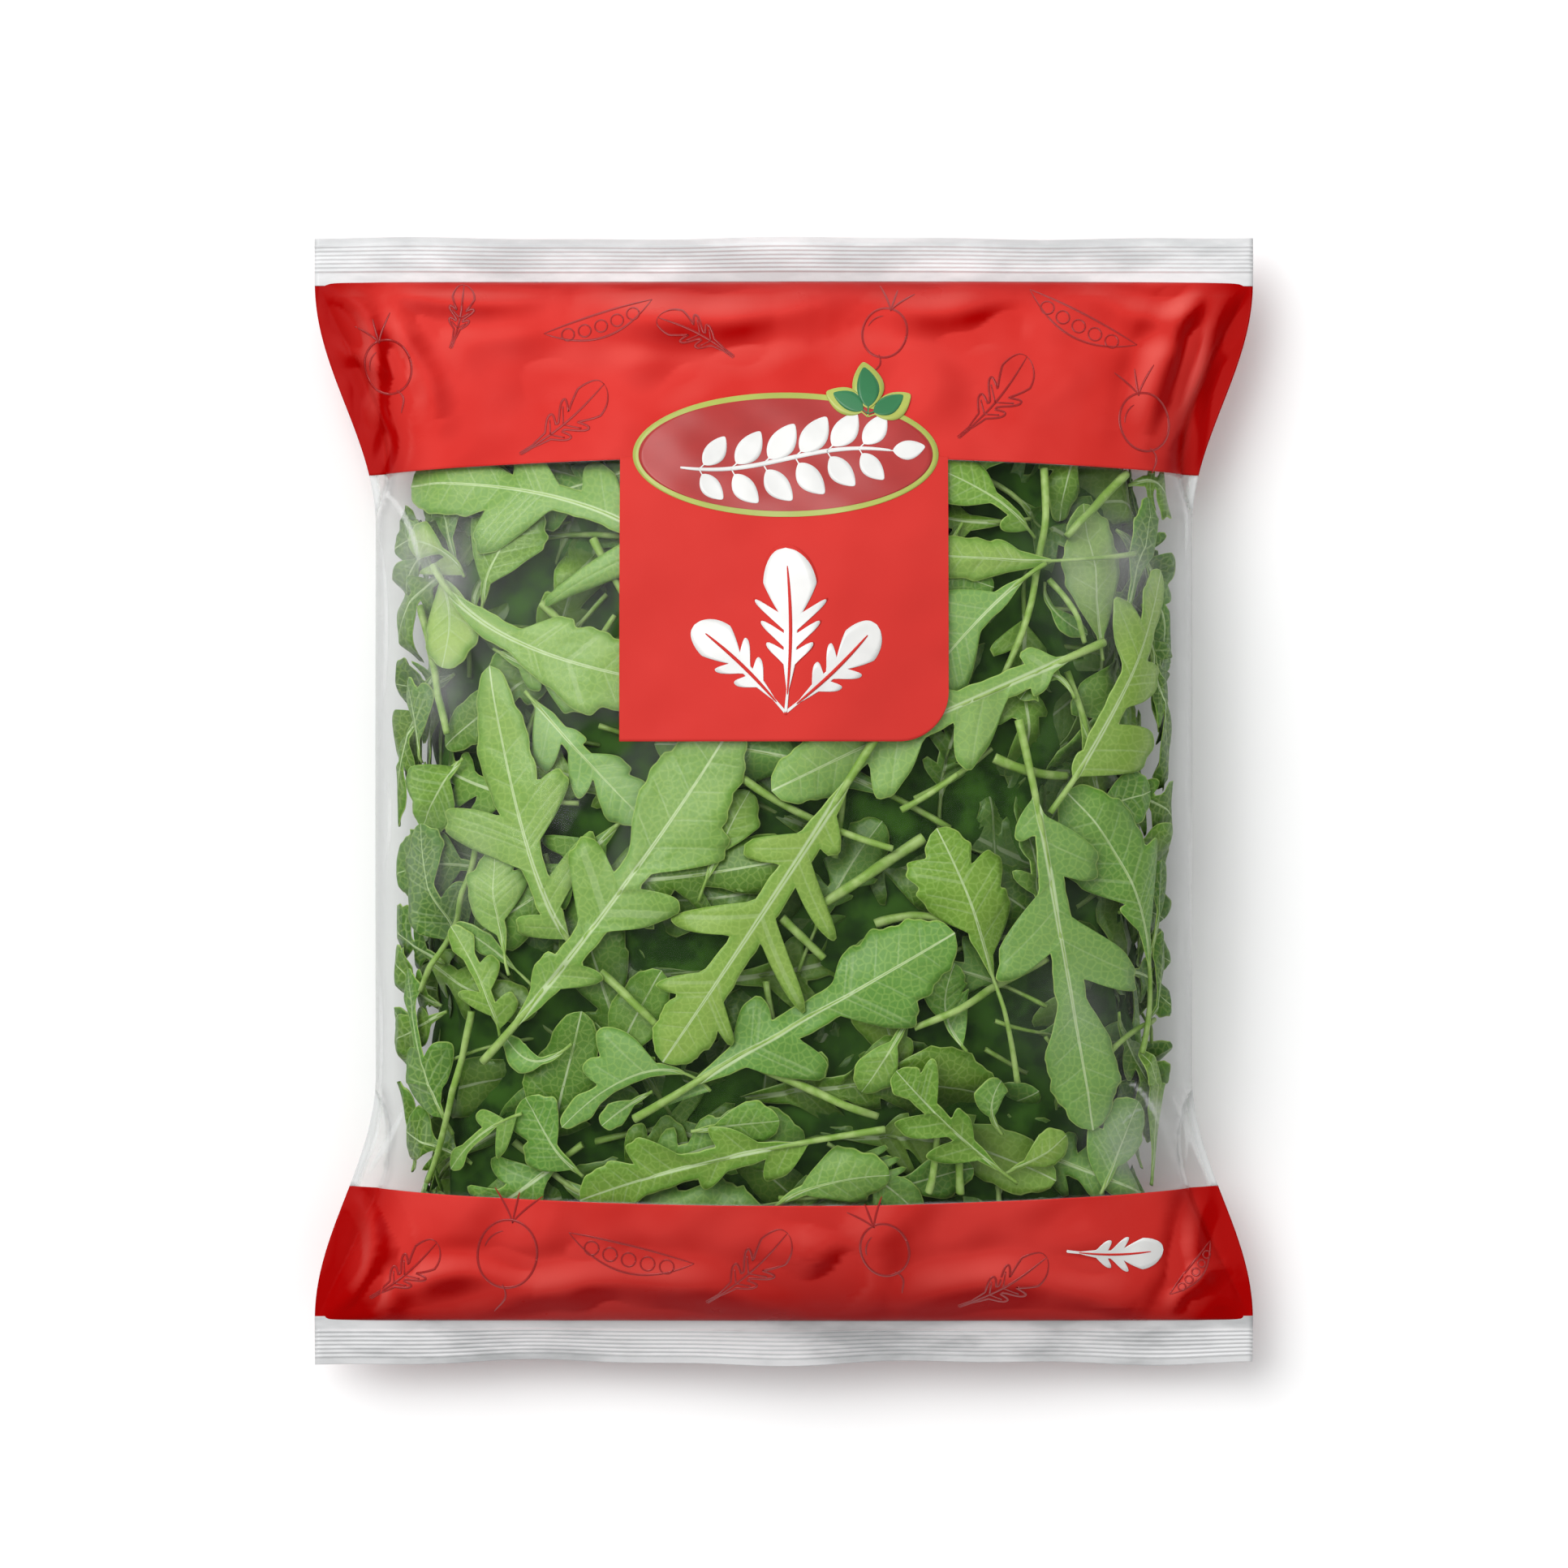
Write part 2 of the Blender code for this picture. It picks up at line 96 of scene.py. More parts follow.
def frontHeight(x, y):  # side height + crown * (1 - across^2)^power + ear gap + bulges
    full = fullness(y)
    side, seal = sideHeight(x, y), sealHeight(x)
    power = bag["frontSection"][0] + bag["frontSection"][1] * (1 - full)
    lens = np.maximum(1 - acrossShare(x, y) ** 2, 0) ** power
    crown = seal + (bag["crown"] - seal) * full
    return side + (crown - side) * lens + earSwell(x, y) + bulges(x, y)


def backHeight(x, y):  # the same lens downwards, cut flat by the table
    side = sideHeight(x, y)
    lift = np.maximum((np.abs(y) / bag["halfBody"] - bag["backFlat"]) / (1 - bag["backFlat"]), 0)
    lift = lift ** bag["backRound"]
    lowest = sealHeight(x) * lift - bag["backPress"] * (1 - lift)
    power = bag["backSection"][0] + bag["backSection"][1] * lift
    lens = np.maximum(1 - acrossShare(x, y) ** 2, 0) ** power
    return np.maximum(side - (side - lowest) * lens - earSwell(x, y), 0)


def bandEdge(x, end):  # the print's edge bows over the filling: a parabola across the bag
    middle, side = (printing["headMiddle"], printing["headSide"]) if end > 0 else (
        printing["footMiddle"], printing["footSide"])
    return middle + (side - middle) * (2 * x / bag["width"]) ** 2


# Where the camera stands, and a pixel of the photograph on the bag's front
photo = dict(size=1932, span=0.4175, planeHeight=0.020, lens=180, sensor=36, aimY=0.00454, reach=0.108)
cameraHeight = photo["planeHeight"] + photo["span"] * photo["lens"] / photo["sensor"]


def onFront(px, py):  # pixel to plan: the ray from the camera met with the front film, in three steps
    px, py = np.asarray(px, float), np.asarray(py, float)
    height = photo["planeHeight"]
    for step in range(3):
        pitch = photo["span"] / photo["size"] * (cameraHeight - height) / (
            cameraHeight - photo["planeHeight"])
        x = (px - photo["size"] / 2) * pitch
        y = photo["aimY"] + (photo["size"] / 2 - py) * pitch
        inside = np.clip(y, -bag["halfBody"], bag["halfBody"])
        height = frontHeight(np.clip(x, -photo["reach"], photo["reach"]), inside)
    return x, y


# The film's wrinkles. A crease runs through three photograph pixels; width and height in millimetres.
film = dict(thick=0.00016, ringFront=220, ringBack=70, windowRows=140, bandRows=80, seed=5,
            shimmer=0.00007, gather=0.0009, gatherReach=0.020, valleyDepth=0.45, valleyPlace=2.1,
            folds=((1.0, 101, 30, 1.1), (0.7, 173, -40, 0.3)), deepest=0.0006, sharpest=0.0013)
creases = (
    ((402, 350), (462, 428), (450, 590), 2.4, 2.6), ((420, 350), (500, 420), (540, 520), 3.2, 1.7),
    ((402, 420), (440, 440), (500, 470), 2.2, 1.5), ((452, 500), (480, 540), (462, 592), 1.8, 1.6),
    ((470, 350), (560, 372), (680, 366), 3.0, 1.3), ((700, 362), (860, 392), (1010, 372), 4.2, 1.5),
    ((560, 400), (760, 402), (960, 384), 6.5, 1.2), ((1060, 362), (1150, 384), (1260, 362), 3.6, 1.3),
    ((1330, 352), (1430, 392), (1490, 352), 3.2, 1.3), ((1526, 352), (1486, 440), (1476, 588), 2.4, 2.4),
    ((1505, 356), (1440, 430), (1410, 540), 3.6, 1.5), ((1530, 420), (1480, 470), (1440, 560), 2.4, 1.4),
    ((460, 600), (500, 640), (520, 720), 2.0, 1.4), ((464, 640), (476, 760), (468, 900), 1.6, 1.2),
    ((486, 600), (470, 620), (466, 660), 1.4, 1.2), ((472, 940), (480, 1010), (470, 1090), 1.6, 1.0),
    ((1468, 596), (1474, 700), (1472, 900), 2.0, 1.5), ((1450, 596), (1462, 640), (1458, 700), 1.6, 1.2),
    ((1474, 900), (1468, 1100), (1472, 1330), 1.8, 1.3),
    ((1380, 1330), (1412, 1352), (1432, 1400), 1.8, 1.4),
    ((1372, 1400), (1396, 1372), (1424, 1362), 1.6, 1.0),
    ((1440, 1340), (1468, 1400), (1490, 1455), 2.0, 1.6),
    ((1455, 1330), (1462, 1380), (1460, 1450), 1.4, 1.2), ((446, 1455), (478, 1405), (500, 1360), 2.0, 1.6),
    ((440, 1452), (462, 1400), (468, 1340), 1.5, 1.3), ((466, 1180), (470, 1290), (464, 1400), 1.5, 1.2),
    ((410, 1470), (462, 1510), (480, 1620), 3.0, 1.8), ((398, 1622), (452, 1560), (436, 1470), 2.4, 1.9),
    ((940, 1520), (1030, 1538), (1120, 1500), 5.0, 1.2),
    ((1000, 1500), (1046, 1552), (1010, 1612), 4.2, -1.3),
    ((560, 1622), (760, 1580), (980, 1612), 4.0, 1.4), ((1090, 1612), (1240, 1580), (1400, 1618), 4.0, 1.4),
    ((480, 1600), (560, 1570), (660, 1590), 3.2, 1.2), ((1530, 1620), (1476, 1560), (1492, 1460), 2.8, 1.9),
    ((1440, 1622), (1470, 1580), (1520, 1560), 2.4, 1.3),
)


def alongPath(path):  # the unit steps along a path of points, and those square to them on its right
    ahead = np.gradient(path, axis=0)
    ahead /= np.maximum(np.linalg.norm(ahead, axis=1, keepdims=True), 1e-9)
    return ahead, np.stack([ahead[:, 1], -ahead[:, 0]], axis=-1)


def curveThrough(first, middle, last, t):  # the parabola that passes the middle point at t = 1/2
    pull = 2 * np.asarray(middle) - (np.asarray(first) + np.asarray(last)) / 2
    t = np.asarray(t)[:, None]
    return (1 - t) ** 2 * np.asarray(first) + 2 * t * (1 - t) * pull + t ** 2 * np.asarray(last)


def ridge(x, y, line, width, height):
    # height * exp(-(distance / width)^2), fading to both ends, with a shallow valley beside it
    x, y = np.broadcast_arrays(np.asarray(x, float), np.asarray(y, float))
    low, high = line.min(0) - 5 * width, line.max(0) + 5 * width
    near = (x > low[0]) & (x < high[0]) & (y > low[1]) & (y < high[1])
    raised = np.zeros(x.shape)
    x, y = x[near], y[near]
    nearest, place = np.full(x.shape, 9.0), np.zeros(x.shape)
    for k, step in enumerate(np.diff(line, axis=0)):
        share = np.clip(((x - line[k, 0]) * step[0] + (y - line[k, 1]) * step[1]) / (step @ step), 0, 1)
        away = np.hypot(x - line[k, 0] - share * step[0], y - line[k, 1] - share * step[1])
        place = np.where(away < nearest, (k + share) / (len(line) - 1), place)
        nearest = np.minimum(nearest, away)
    fade = np.sin(np.pi * np.clip(place, 0.02, 0.98)) ** 0.6
    raised[near] = fade * height * (np.exp(-(nearest / width) ** 2)
                                    - film["valleyDepth"]
                                    * np.exp(-((nearest - film["valleyPlace"] * width) / width) ** 2))
    return raised


creaseLines = []
for first, middle, last, width, height in creases:
    pixels = curveThrough(first, middle, last, np.linspace(0, 1, 13))
    x, y = onFront(pixels[:, 0], pixels[:, 1])
    creaseLines.append((np.column_stack([x, y]), width / 1000, height / 1000))

waveRandom = np.random.default_rng(film["seed"])
shimmerWaves = [(waveRandom.uniform(120, 420), waveRandom.uniform(0, 2 * np.pi),
                 waveRandom.uniform(0, 2 * np.pi)) for k in range(12)]


def filmRelief(x, y):
    # fine waves in all directions + gathers that run in from the seals + the creases
    relief = np.zeros(np.shape(x))
    for waves, turn, shift in shimmerWaves:
        along = x * math.cos(turn) + y * math.sin(turn)
        relief = relief + film["shimmer"] * np.sin(waves * along + shift + 3 * np.sin(40 * y + 25 * x))
    fromSeal = bag["halfBody"] - np.abs(y)
    reach = fromSeal / film["gatherReach"]
    folds = sum(part * np.sin(across * x + along * y + shift) for part, across, along, shift in film["folds"])
    folds = folds + 0.5 * np.sin(57 * x + 2.0 * np.sign(y))
    relief = relief + film["gather"] * folds * 1.6 * reach * np.exp(-1.6 * reach)
    for line, width, height in creaseLines:
        relief = relief + ridge(x, y, line, width, height)
    rim = np.clip((1 - (np.abs(x) / halfWidth(y)) ** 6) * 1.6, 0, 1)
    return np.maximum(relief, -film["deepest"]) * rim * np.clip(fromSeal / 0.004, 0, 1)


def creaseShare(x, y):  # 0 on smooth film to 1 on the sharpest crease
    raised = sum(np.maximum(ridge(x, y, line, 0.6 * width, height), 0) for line, width, height in creaseLines)
    return np.clip(raised / film["sharpest"], 0, 1)


def towardsLight(x, y, step=0.0008):  # the relief's slope on the side that faces the window light
    above = np.clip(y + 0.7 * step, -bag["halfBody"] + 0.0004, bag["halfBody"] - 0.0004)
    return (filmRelief(x, y) - filmRelief(x - 0.7 * step, above)) / step


# Painted shade and painted highlights on the red print: how much, and over how many millimetres from the
# seals
paintedInkLight = dict(foot=0.95, footReach=7.5, footMiddle=4.0, head=0.55, headReach=5.5, sideFrom=0.82, sideOver=0.15,
           footSide=0.85, headSide=0.80, valleys=2.6, crests=1.7, level=0.12, sheen=0.45,
           sheenAt=(-0.03, 0.121), sheenSize=(0.055, 0.006))


def paintedInkShade(x, y):
    # painted shade on the red: at the seals, at the sides and on crease slopes turned away from the light
    fromSeal = (bag["halfBody"] - np.abs(y)) * 1000
    reach = paintedInkLight["footReach"] + paintedInkLight["footMiddle"] * np.exp(-((x - 0.005) / 0.05) ** 2)
    foot = paintedInkLight["foot"] * np.exp(-(fromSeal / reach) ** 1.6) * (0.85 + 0.15 * np.sin(37 * x + 1.0))
    head = paintedInkLight["head"] * np.exp(-(fromSeal / paintedInkLight["headReach"]) ** 2)
    head = head * (0.55 + 0.45 * np.sin(43 * x + 0.5) * np.sin(71 * x))
    across = np.clip((np.abs(x) / halfWidth(y) - paintedInkLight["sideFrom"]) / paintedInkLight["sideOver"], 0, 1)
    side = np.where(y < 0, paintedInkLight["footSide"], paintedInkLight["headSide"]) * across ** 2 * (3 - 2 * across)
    valleys = np.maximum(-paintedInkLight["valleys"] * towardsLight(x, y), 0)
    return np.clip(np.where(y < 0, foot, head) + side + valleys, 0, 1)


def paintedInkHighlight(x, y):  # painted highlights on the crests, on the side that faces the light, and a broad painted sheen across the head band
    middleX, middleY = paintedInkLight["sheenAt"]
    wideX, wideY = paintedInkLight["sheenSize"]
    sheen = np.exp(-((y - middleY - 0.003 * np.sin(30 * x)) / wideY) ** 2)
    sheen = paintedInkLight["sheen"] * sheen * np.exp(-((x - middleX) / wideX) ** 2)
    return np.clip(paintedInkLight["crests"] * towardsLight(x, y) - paintedInkLight["level"] + sheen, 0, 1)


reflectionPatches = ((520, 700, 56, 0.16), (540, 850, 50, 0.08), (1372, 700, 56, 0.13), (1395, 1400, 44, 0.13),
          (560, 1060, 60, 0.05), (1330, 1250, 60, 0.04))  # pixel, pixel, radius in pixels, whiteness of the painted reflection


def paintedReflection(x, y):  # painted reflections: white patches on the film, exp(-(distance / radius)^2) of each, streaked by two waves
    white = np.zeros(np.shape(x))
    for px, py, radius, share in reflectionPatches:
        cx, cy = onFront(px, py)
        away = np.hypot(x - cx, y - cy) / (radius * photo["span"] / photo["size"])
        white = white + share * np.exp(-away ** 2)
    return white * (0.85 + 0.35 * np.sin(330 * x + 90 * y) * np.sin(140 * y - 60 * x + 1))


def filmFront(x, y, lift=0.0):
    return frontHeight(x, y) + filmRelief(x, y) + lift


# Meshes from arrays
def gridQuads(rows, columns, closed=False):  # the quads of a grid of points, wound x then y
    index = np.arange(rows * columns).reshape(rows, columns)
    right = np.roll(index, -1, axis=1)
    if not closed:
        index, right = index[:, :-1], right[:, :-1]
    return np.stack([index[:-1], right[:-1], right[1:], index[1:]], axis=-1).reshape(-1, 4)


def slabQuads(rows, columns):  # a top grid, a bottom grid and the wall between their rims
    top = gridQuads(rows, columns)
    index = np.arange(rows * columns).reshape(rows, columns)
    rim = np.concatenate([index[0, :-1], index[:-1, -1], index[-1, :0:-1], index[:0:-1, 0]])
    after = np.roll(rim, -1)
    under = rows * columns
    wall = np.stack([rim, rim + under, after + under, after], axis=-1)
    return np.concatenate([top, top[:, ::-1] + under, wall])


def makePiece(name, points, quads, material, caps=(), slots=None, attributes=None):
    # one mesh from arrays of points and quads, with many-sided caps and a value per point where given
    mesh = bpy.data.meshes.new(name)
    corners = np.concatenate([quads.ravel()] + [np.asarray(cap) for cap in caps]).astype(np.int32)
    counts = np.concatenate([np.full(len(quads), 4), [len(cap) for cap in caps]]).astype(np.int32)
    starts = np.concatenate([[0], np.cumsum(counts)[:-1]]).astype(np.int32)
    mesh.vertices.add(len(points))
    mesh.vertices.foreach_set("co", np.ascontiguousarray(points, dtype=np.float32).ravel())
    mesh.loops.add(len(corners))
    mesh.loops.foreach_set("vertex_index", corners)
    mesh.polygons.add(len(counts))
    mesh.polygons.foreach_set("loop_start", starts)
    for made in (material if isinstance(material, (list, tuple)) else [material]):
        mesh.materials.append(made)
    if slots is not None:
        mesh.polygons.foreach_set("material_index", np.asarray(slots, dtype=np.int32))
    mesh.update(calc_edges=True)
    for title, values in (attributes or {}).items():
        layer = mesh.attributes.new(title, "FLOAT", "POINT")
        layer.data.foreach_set("value", np.ascontiguousarray(values, dtype=np.float32))
    mesh.shade_smooth()
    piece = bpy.data.objects.new(name, mesh)
    bpy.context.scene.collection.objects.link(piece)
    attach(piece, body)
    return piece


def bothSides(top, low):
    return np.concatenate([top.reshape(-1, 3), low.reshape(-1, 3)])


def slab(name, top, thick, material):  # a grid of points made a thin closed solid, going down
    points = bothSides(top, top - np.array([0, 0, thick]))
    return makePiece(name, points, slabQuads(*top.shape[:2]), material)


# Materials
def newMaterial(name):
    material = bpy.data.materials.new(name)
    material.use_nodes = True
    return material, material.node_tree, material.node_tree.nodes["Principled BSDF"]


def setGloss(shader, rough, specular):
    shader.inputs["Roughness"].default_value = rough
    shader.inputs["Specular IOR Level"].default_value = specular


def noiseNode(tree, scale, detail=4.0, rough=0.55, stretch=None):
    place = tree.nodes.new("ShaderNodeTexCoord")
    noise = tree.nodes.new("ShaderNodeTexNoise")
    noise.inputs["Scale"].default_value = scale
    noise.inputs["Detail"].default_value = detail
    noise.inputs["Roughness"].default_value = rough
    if stretch:
        turn = tree.nodes.new("ShaderNodeMapping")
        turn.inputs["Scale"].default_value = stretch
        tree.links.new(place.outputs["Object"], turn.inputs["Vector"])
        tree.links.new(turn.outputs["Vector"], noise.inputs["Vector"])
    else:
        tree.links.new(place.outputs["Object"], noise.inputs["Vector"])
    return noise.outputs["Fac"]


def mapRange(tree, value, low, high, toLow, toHigh, smooth=True):
    node = tree.nodes.new("ShaderNodeMapRange")
    node.interpolation_type = "SMOOTHSTEP" if smooth else "LINEAR"
    for socket, number in (("From Min", low), ("From Max", high), ("To Min", toLow), ("To Max", toHigh)):
        node.inputs[socket].default_value = number
    tree.links.new(value, node.inputs["Value"])
    return node.outputs["Result"]


def mathNode(tree, how, first, second):
    node = tree.nodes.new("ShaderNodeMath")
    node.operation = how
    for k, value in enumerate((first, second)):
        if isinstance(value, (int, float)):
            node.inputs[k].default_value = value
        else:
            tree.links.new(value, node.inputs[k])
    return node.outputs[0]


def mixColour(tree, share, first, second, how="MIX"):  # a tuple is a fixed colour
    node = tree.nodes.new("ShaderNodeMix")
    node.data_type = "RGBA"
    node.blend_type = how
    node.clamp_factor = True
    if isinstance(share, (int, float)):
        node.inputs["Factor"].default_value = share
    else:
        tree.links.new(share, node.inputs["Factor"])
    for socket, value in ((6, first), (7, second)):
        if isinstance(value, tuple):
            node.inputs[socket].default_value = (*value, 1.0)
        else:
            tree.links.new(value, node.inputs[socket])
    return node.outputs[2]


def stain(tree, colour, value, span, shares, towards, smooth=True):
    # mixes a colour towards another, from one share to the other as a value runs through its span
    return mixColour(tree, mapRange(tree, value, *span, *shares, smooth), colour, towards)


def attributeNode(tree, name):
    node = tree.nodes.new("ShaderNodeAttribute")
    node.attribute_name = name
    return node.outputs["Fac"]


def mixShader(tree, share, first, second):
    node = tree.nodes.new("ShaderNodeMixShader")
    tree.links.new(share, node.inputs["Fac"])
    tree.links.new(first.outputs[0], node.inputs[1])
    tree.links.new(second.outputs[0], node.inputs[2])
    return node


def bumpNode(tree, height, strength, distance, after=None):  # set on top of the bump named last
    node = tree.nodes.new("ShaderNodeBump")
    node.inputs["Strength"].default_value = strength
    node.inputs["Distance"].default_value = distance
    tree.links.new(height, node.inputs["Height"])
    if after is not None:
        tree.links.new(after, node.inputs["Normal"])
    return node.outputs["Normal"]


# colours from a dark to a light leaf, then the midrib, the pale of the fine net and of the edge, where it is
# a painted highlight, the painted shade just inside the edge and the painted shade of leaves deep in the pile
leafLook = dict(deep=(0.046, 0.132, 0.004), middle=(0.160, 0.330, 0.040), light=(0.350, 0.530, 0.165),
                rib=(0.560, 0.700, 0.380), rim=(0.460, 0.650, 0.155), edgeShade=(0.095, 0.290, 0.012),
                shade=(0.014, 0.046, 0.003), shadeShare=0.72, net=520, grain=330, rough=0.40)


def leafMaterial():
    # green by each leaf's own tint and warmth, with a fine net, side veins, a midrib, a painted highlight
    # along the edge, painted shade just inside it and painted shade by depth
    material, tree, shader = newMaterial("rocket_leaf")
    tint = attributeNode(tree, "leafTint")
    ramp = tree.nodes.new("ShaderNodeValToRGB")
    ramp.color_ramp.elements[0].color = (*leafLook["deep"], 1)
    ramp.color_ramp.elements[1].color = (*leafLook["light"], 1)
    ramp.color_ramp.elements.new(0.5).color = (*leafLook["middle"], 1)
    tree.links.new(tint, ramp.inputs["Fac"])
    mottle = mapRange(tree, noiseNode(tree, 70, 2), 0.3, 0.7, 0.0, 1.0)
    patches = mixColour(tree, mottle, (0.90, 0.96, 0.86), (1.08, 1.04, 1.10))
    colour = mixColour(tree, 1.0, ramp.outputs["Color"], patches, "MULTIPLY")
    warmth = mixColour(tree, attributeNode(tree, "leafWarm"), (0.84, 0.95, 1.18), (1.16, 1.05, 0.74))
    colour = mixColour(tree, 1.0, colour, warmth, "MULTIPLY")
    cells = tree.nodes.new("ShaderNodeTexVoronoi")
    cells.feature = "DISTANCE_TO_EDGE"
    cells.voronoi_dimensions = "2D"
    cells.inputs["Scale"].default_value = leafLook["net"]
    place = tree.nodes.new("ShaderNodeTexCoord")
    tree.links.new(place.outputs["Object"], cells.inputs["Vector"])
    colour = stain(tree, colour, cells.outputs["Distance"], (0.0, 0.20), (0.26, 0.0), leafLook["rim"])
    fromVein = attributeNode(tree, "fromVein")
    fromEdge = attributeNode(tree, "fromEdge")
    # painted shade just inside the margin, standing in for its curl
    edge = mapRange(tree, fromEdge, 0.4, 3.6, 0.62, 0.0)
    colour = mixColour(tree, mathNode(tree, "MULTIPLY", edge, mottle), colour, leafLook["edgeShade"])
    vein = mapRange(tree, fromVein, 0.05, 0.36, 0.22, 0.0)
    veinFade = mapRange(tree, fromEdge, 0.5, 5.0, 0.0, 1.0)
    vein = mathNode(tree, "MULTIPLY", vein, veinFade)
    colour = mixColour(tree, vein, colour, leafLook["rib"])
    # a painted highlight along the margin
    colour = stain(tree, colour, fromEdge, (0.10, 0.50), (0.75, 0.0), leafLook["rim"])
    fromRib = attributeNode(tree, "fromRib")
    colour = stain(tree, colour, fromRib, (0.7, 1.25), (0.9, 0.0), leafLook["rib"])
    # painted shade on leaves deep in the pile
    colour = stain(tree, colour, attributeNode(tree, "leafDepth"), (0.0, 1.0),
                   (0.0, leafLook["shadeShare"]), leafLook["shade"], False)
    tree.links.new(colour, shader.inputs["Base Color"])
    groove = mapRange(tree, fromVein, 0.0, 1.3, 0.0, 1.0)
    normal = bumpNode(tree, groove, 0.20, 0.0005)
    normal = bumpNode(tree, noiseNode(tree, leafLook["grain"], 1, 0.5), 0.45, 0.0007, normal)
    tree.links.new(normal, shader.inputs["Normal"])
    rough = mapRange(tree, mottle, 0.0, 1.0, leafLook["rough"] - 0.07, leafLook["rough"] + 0.09, False)
    tree.links.new(rough, shader.inputs["Roughness"])
    shader.inputs["Specular IOR Level"].default_value = 0.36
    return material


stalkLook = dict(dark=(0.25, 0.43, 0.070), light=(0.43, 0.60, 0.19), shade=(0.018, 0.050, 0.005), rough=0.38)


def stalkMaterial():  # pale green with a soft streak, and painted shade the deeper it lies
    material, tree, shader = newMaterial("rocket_stalk")
    streak = noiseNode(tree, 260, 3, 0.5)
    share = mapRange(tree, streak, 0.35, 0.68, 0, 1)
    colour = mixColour(tree, share, stalkLook["dark"], stalkLook["light"])
    # painted shade on stalks deep in the pile
    colour = stain(tree, colour, attributeNode(tree, "leafDepth"), (0.0, 1.0),
                   (0.0, leafLook["shadeShare"]), stalkLook["shade"], False)
    tree.links.new(colour, shader.inputs["Base Color"])
    setGloss(shader, stalkLook["rough"], 0.25)
    tree.links.new(bumpNode(tree, streak, 0.25, 0.0003), shader.inputs["Normal"])
    return material


def coreMaterial():  # painted shade: a dark green for the leaves deep in the pile, seen in the gaps
    material, tree, shader = newMaterial("painted_shade_inside")
    share = mapRange(tree, noiseNode(tree, 120, 5), 0.35, 0.65, 0, 1)
    colour = mixColour(tree, share, (0.012, 0.042, 0.003), (0.038, 0.112, 0.009))
    tree.links.new(colour, shader.inputs["Base Color"])
    setGloss(shader, 0.8, 0.15)
    return material


# the white of the painted reflections and highlights and its shares at the side welds, the creases and on
# slopes; the clear tints
filmLook = dict(paintedWhite=(0.86, 0.87, 0.87), rough=0.18, weld=0.55, crease=0.26, slope=0.14,
                clear=(0.966, 0.969, 0.967), slanted=(0.876, 0.882, 0.882), mirror=(0.005, 0.40), gloss=0.13)


def filmMaterial():
    # clear where it is looked at straight on, with painted sheen at grazing angles, painted reflections in
    # soft patches and painted highlights at the side folds and creases
    material, tree, shader = newMaterial("clear_film")
    shader.inputs["Base Color"].default_value = (*filmLook["paintedWhite"], 1)
    setGloss(shader, filmLook["rough"], 0.5)
    crumple = noiseNode(tree, 26, 2, 0.55, (1, 0.45, 1))
    normal = bumpNode(tree, crumple, 0.22, 0.0028)
    tree.links.new(normal, shader.inputs["Normal"])
    facing = tree.nodes.new("ShaderNodeLayerWeight")
    facing.inputs["Blend"].default_value = 0.5
    tree.links.new(normal, facing.inputs["Normal"])
    clear = tree.nodes.new("ShaderNodeBsdfTransparent")
    slant = mapRange(tree, facing.outputs["Facing"], 0.22, 0.85, 0.0, 1.0)
    tree.links.new(mixColour(tree, slant, filmLook["clear"], filmLook["slanted"]), clear.inputs["Color"])
    gloss = tree.nodes.new("ShaderNodeBsdfGlossy")
    gloss.inputs["Color"].default_value = (1, 1, 1, 1)
    gloss.inputs["Roughness"].default_value = filmLook["gloss"]
    tree.links.new(normal, gloss.inputs["Normal"])
    mirror = mapRange(tree, facing.outputs["Facing"], 0.34, 1.0, *filmLook["mirror"])
    shine = mixShader(tree, mirror, clear, gloss)
    # painted sheen, whiter towards grazing angles
    slope = mapRange(tree, facing.outputs["Facing"], 0.55, 0.98, 0.0, filmLook["slope"])
    # painted reflections in soft patches
    share = mathNode(tree, "ADD", attributeNode(tree, "paintedReflection"), slope)
    # the doubled film at the side folds, whitened by a painted highlight
    weld = mapRange(tree, attributeNode(tree, "fromSide"), 0.5, 3.0, filmLook["weld"], 0.0)
    # painted highlights along the creases
    crease = mapRange(tree, attributeNode(tree, "creased"), 0.35, 1.0, 0.0, filmLook["crease"])
    share = mathNode(tree, "MAXIMUM", mathNode(tree, "ADD", share, crease), weld)
    out = mixShader(tree, share, shine, shader)
    tree.links.new(out.outputs[0], tree.nodes["Material Output"].inputs["Surface"])
    return material


# pale is the colour of the painted highlights on the red, dark that of the painted shade
redLook = dict(pale=(0.740, 0.115, 0.095), dark=(0.340, 0.000, 0.000), rough=0.32, dents=42, grain=260)


def redMaterial(name, colour, deeper, rough=redLook["rough"]):
    # red ink on film: a slow mottle, painted highlights on the crests, painted shade in the folds and at the
    # seals, small soft dents and a changing gloss
    material, tree, shader = newMaterial(name)
    share = mapRange(tree, noiseNode(tree, 26, 3), 0.35, 0.65, 0, 1)
    mixed = mixColour(tree, share, colour, deeper)
    # painted highlights on the crests and a painted sheen on the head band
    mixed = mixColour(tree, attributeNode(tree, "paintedInkHighlight"), mixed, redLook["pale"])
    # painted shade at the seals, the sides and the creases
    mixed = mixColour(tree, attributeNode(tree, "paintedInkShade"), mixed, redLook["dark"])
    tree.links.new(mixed, shader.inputs["Base Color"])
    normal = bumpNode(tree, noiseNode(tree, redLook["dents"], 3, 0.45), 0.16, 0.0026)
    normal = bumpNode(tree, noiseNode(tree, redLook["grain"], 2, 0.5), 0.06, 0.0005, normal)
    tree.links.new(normal, shader.inputs["Normal"])
    gloss = mapRange(tree, noiseNode(tree, 90, 3), 0.3, 0.7, rough - 0.05, rough + 0.08)
    tree.links.new(gloss, shader.inputs["Roughness"])
    shader.inputs["Specular IOR Level"].default_value = 0.03
    return material


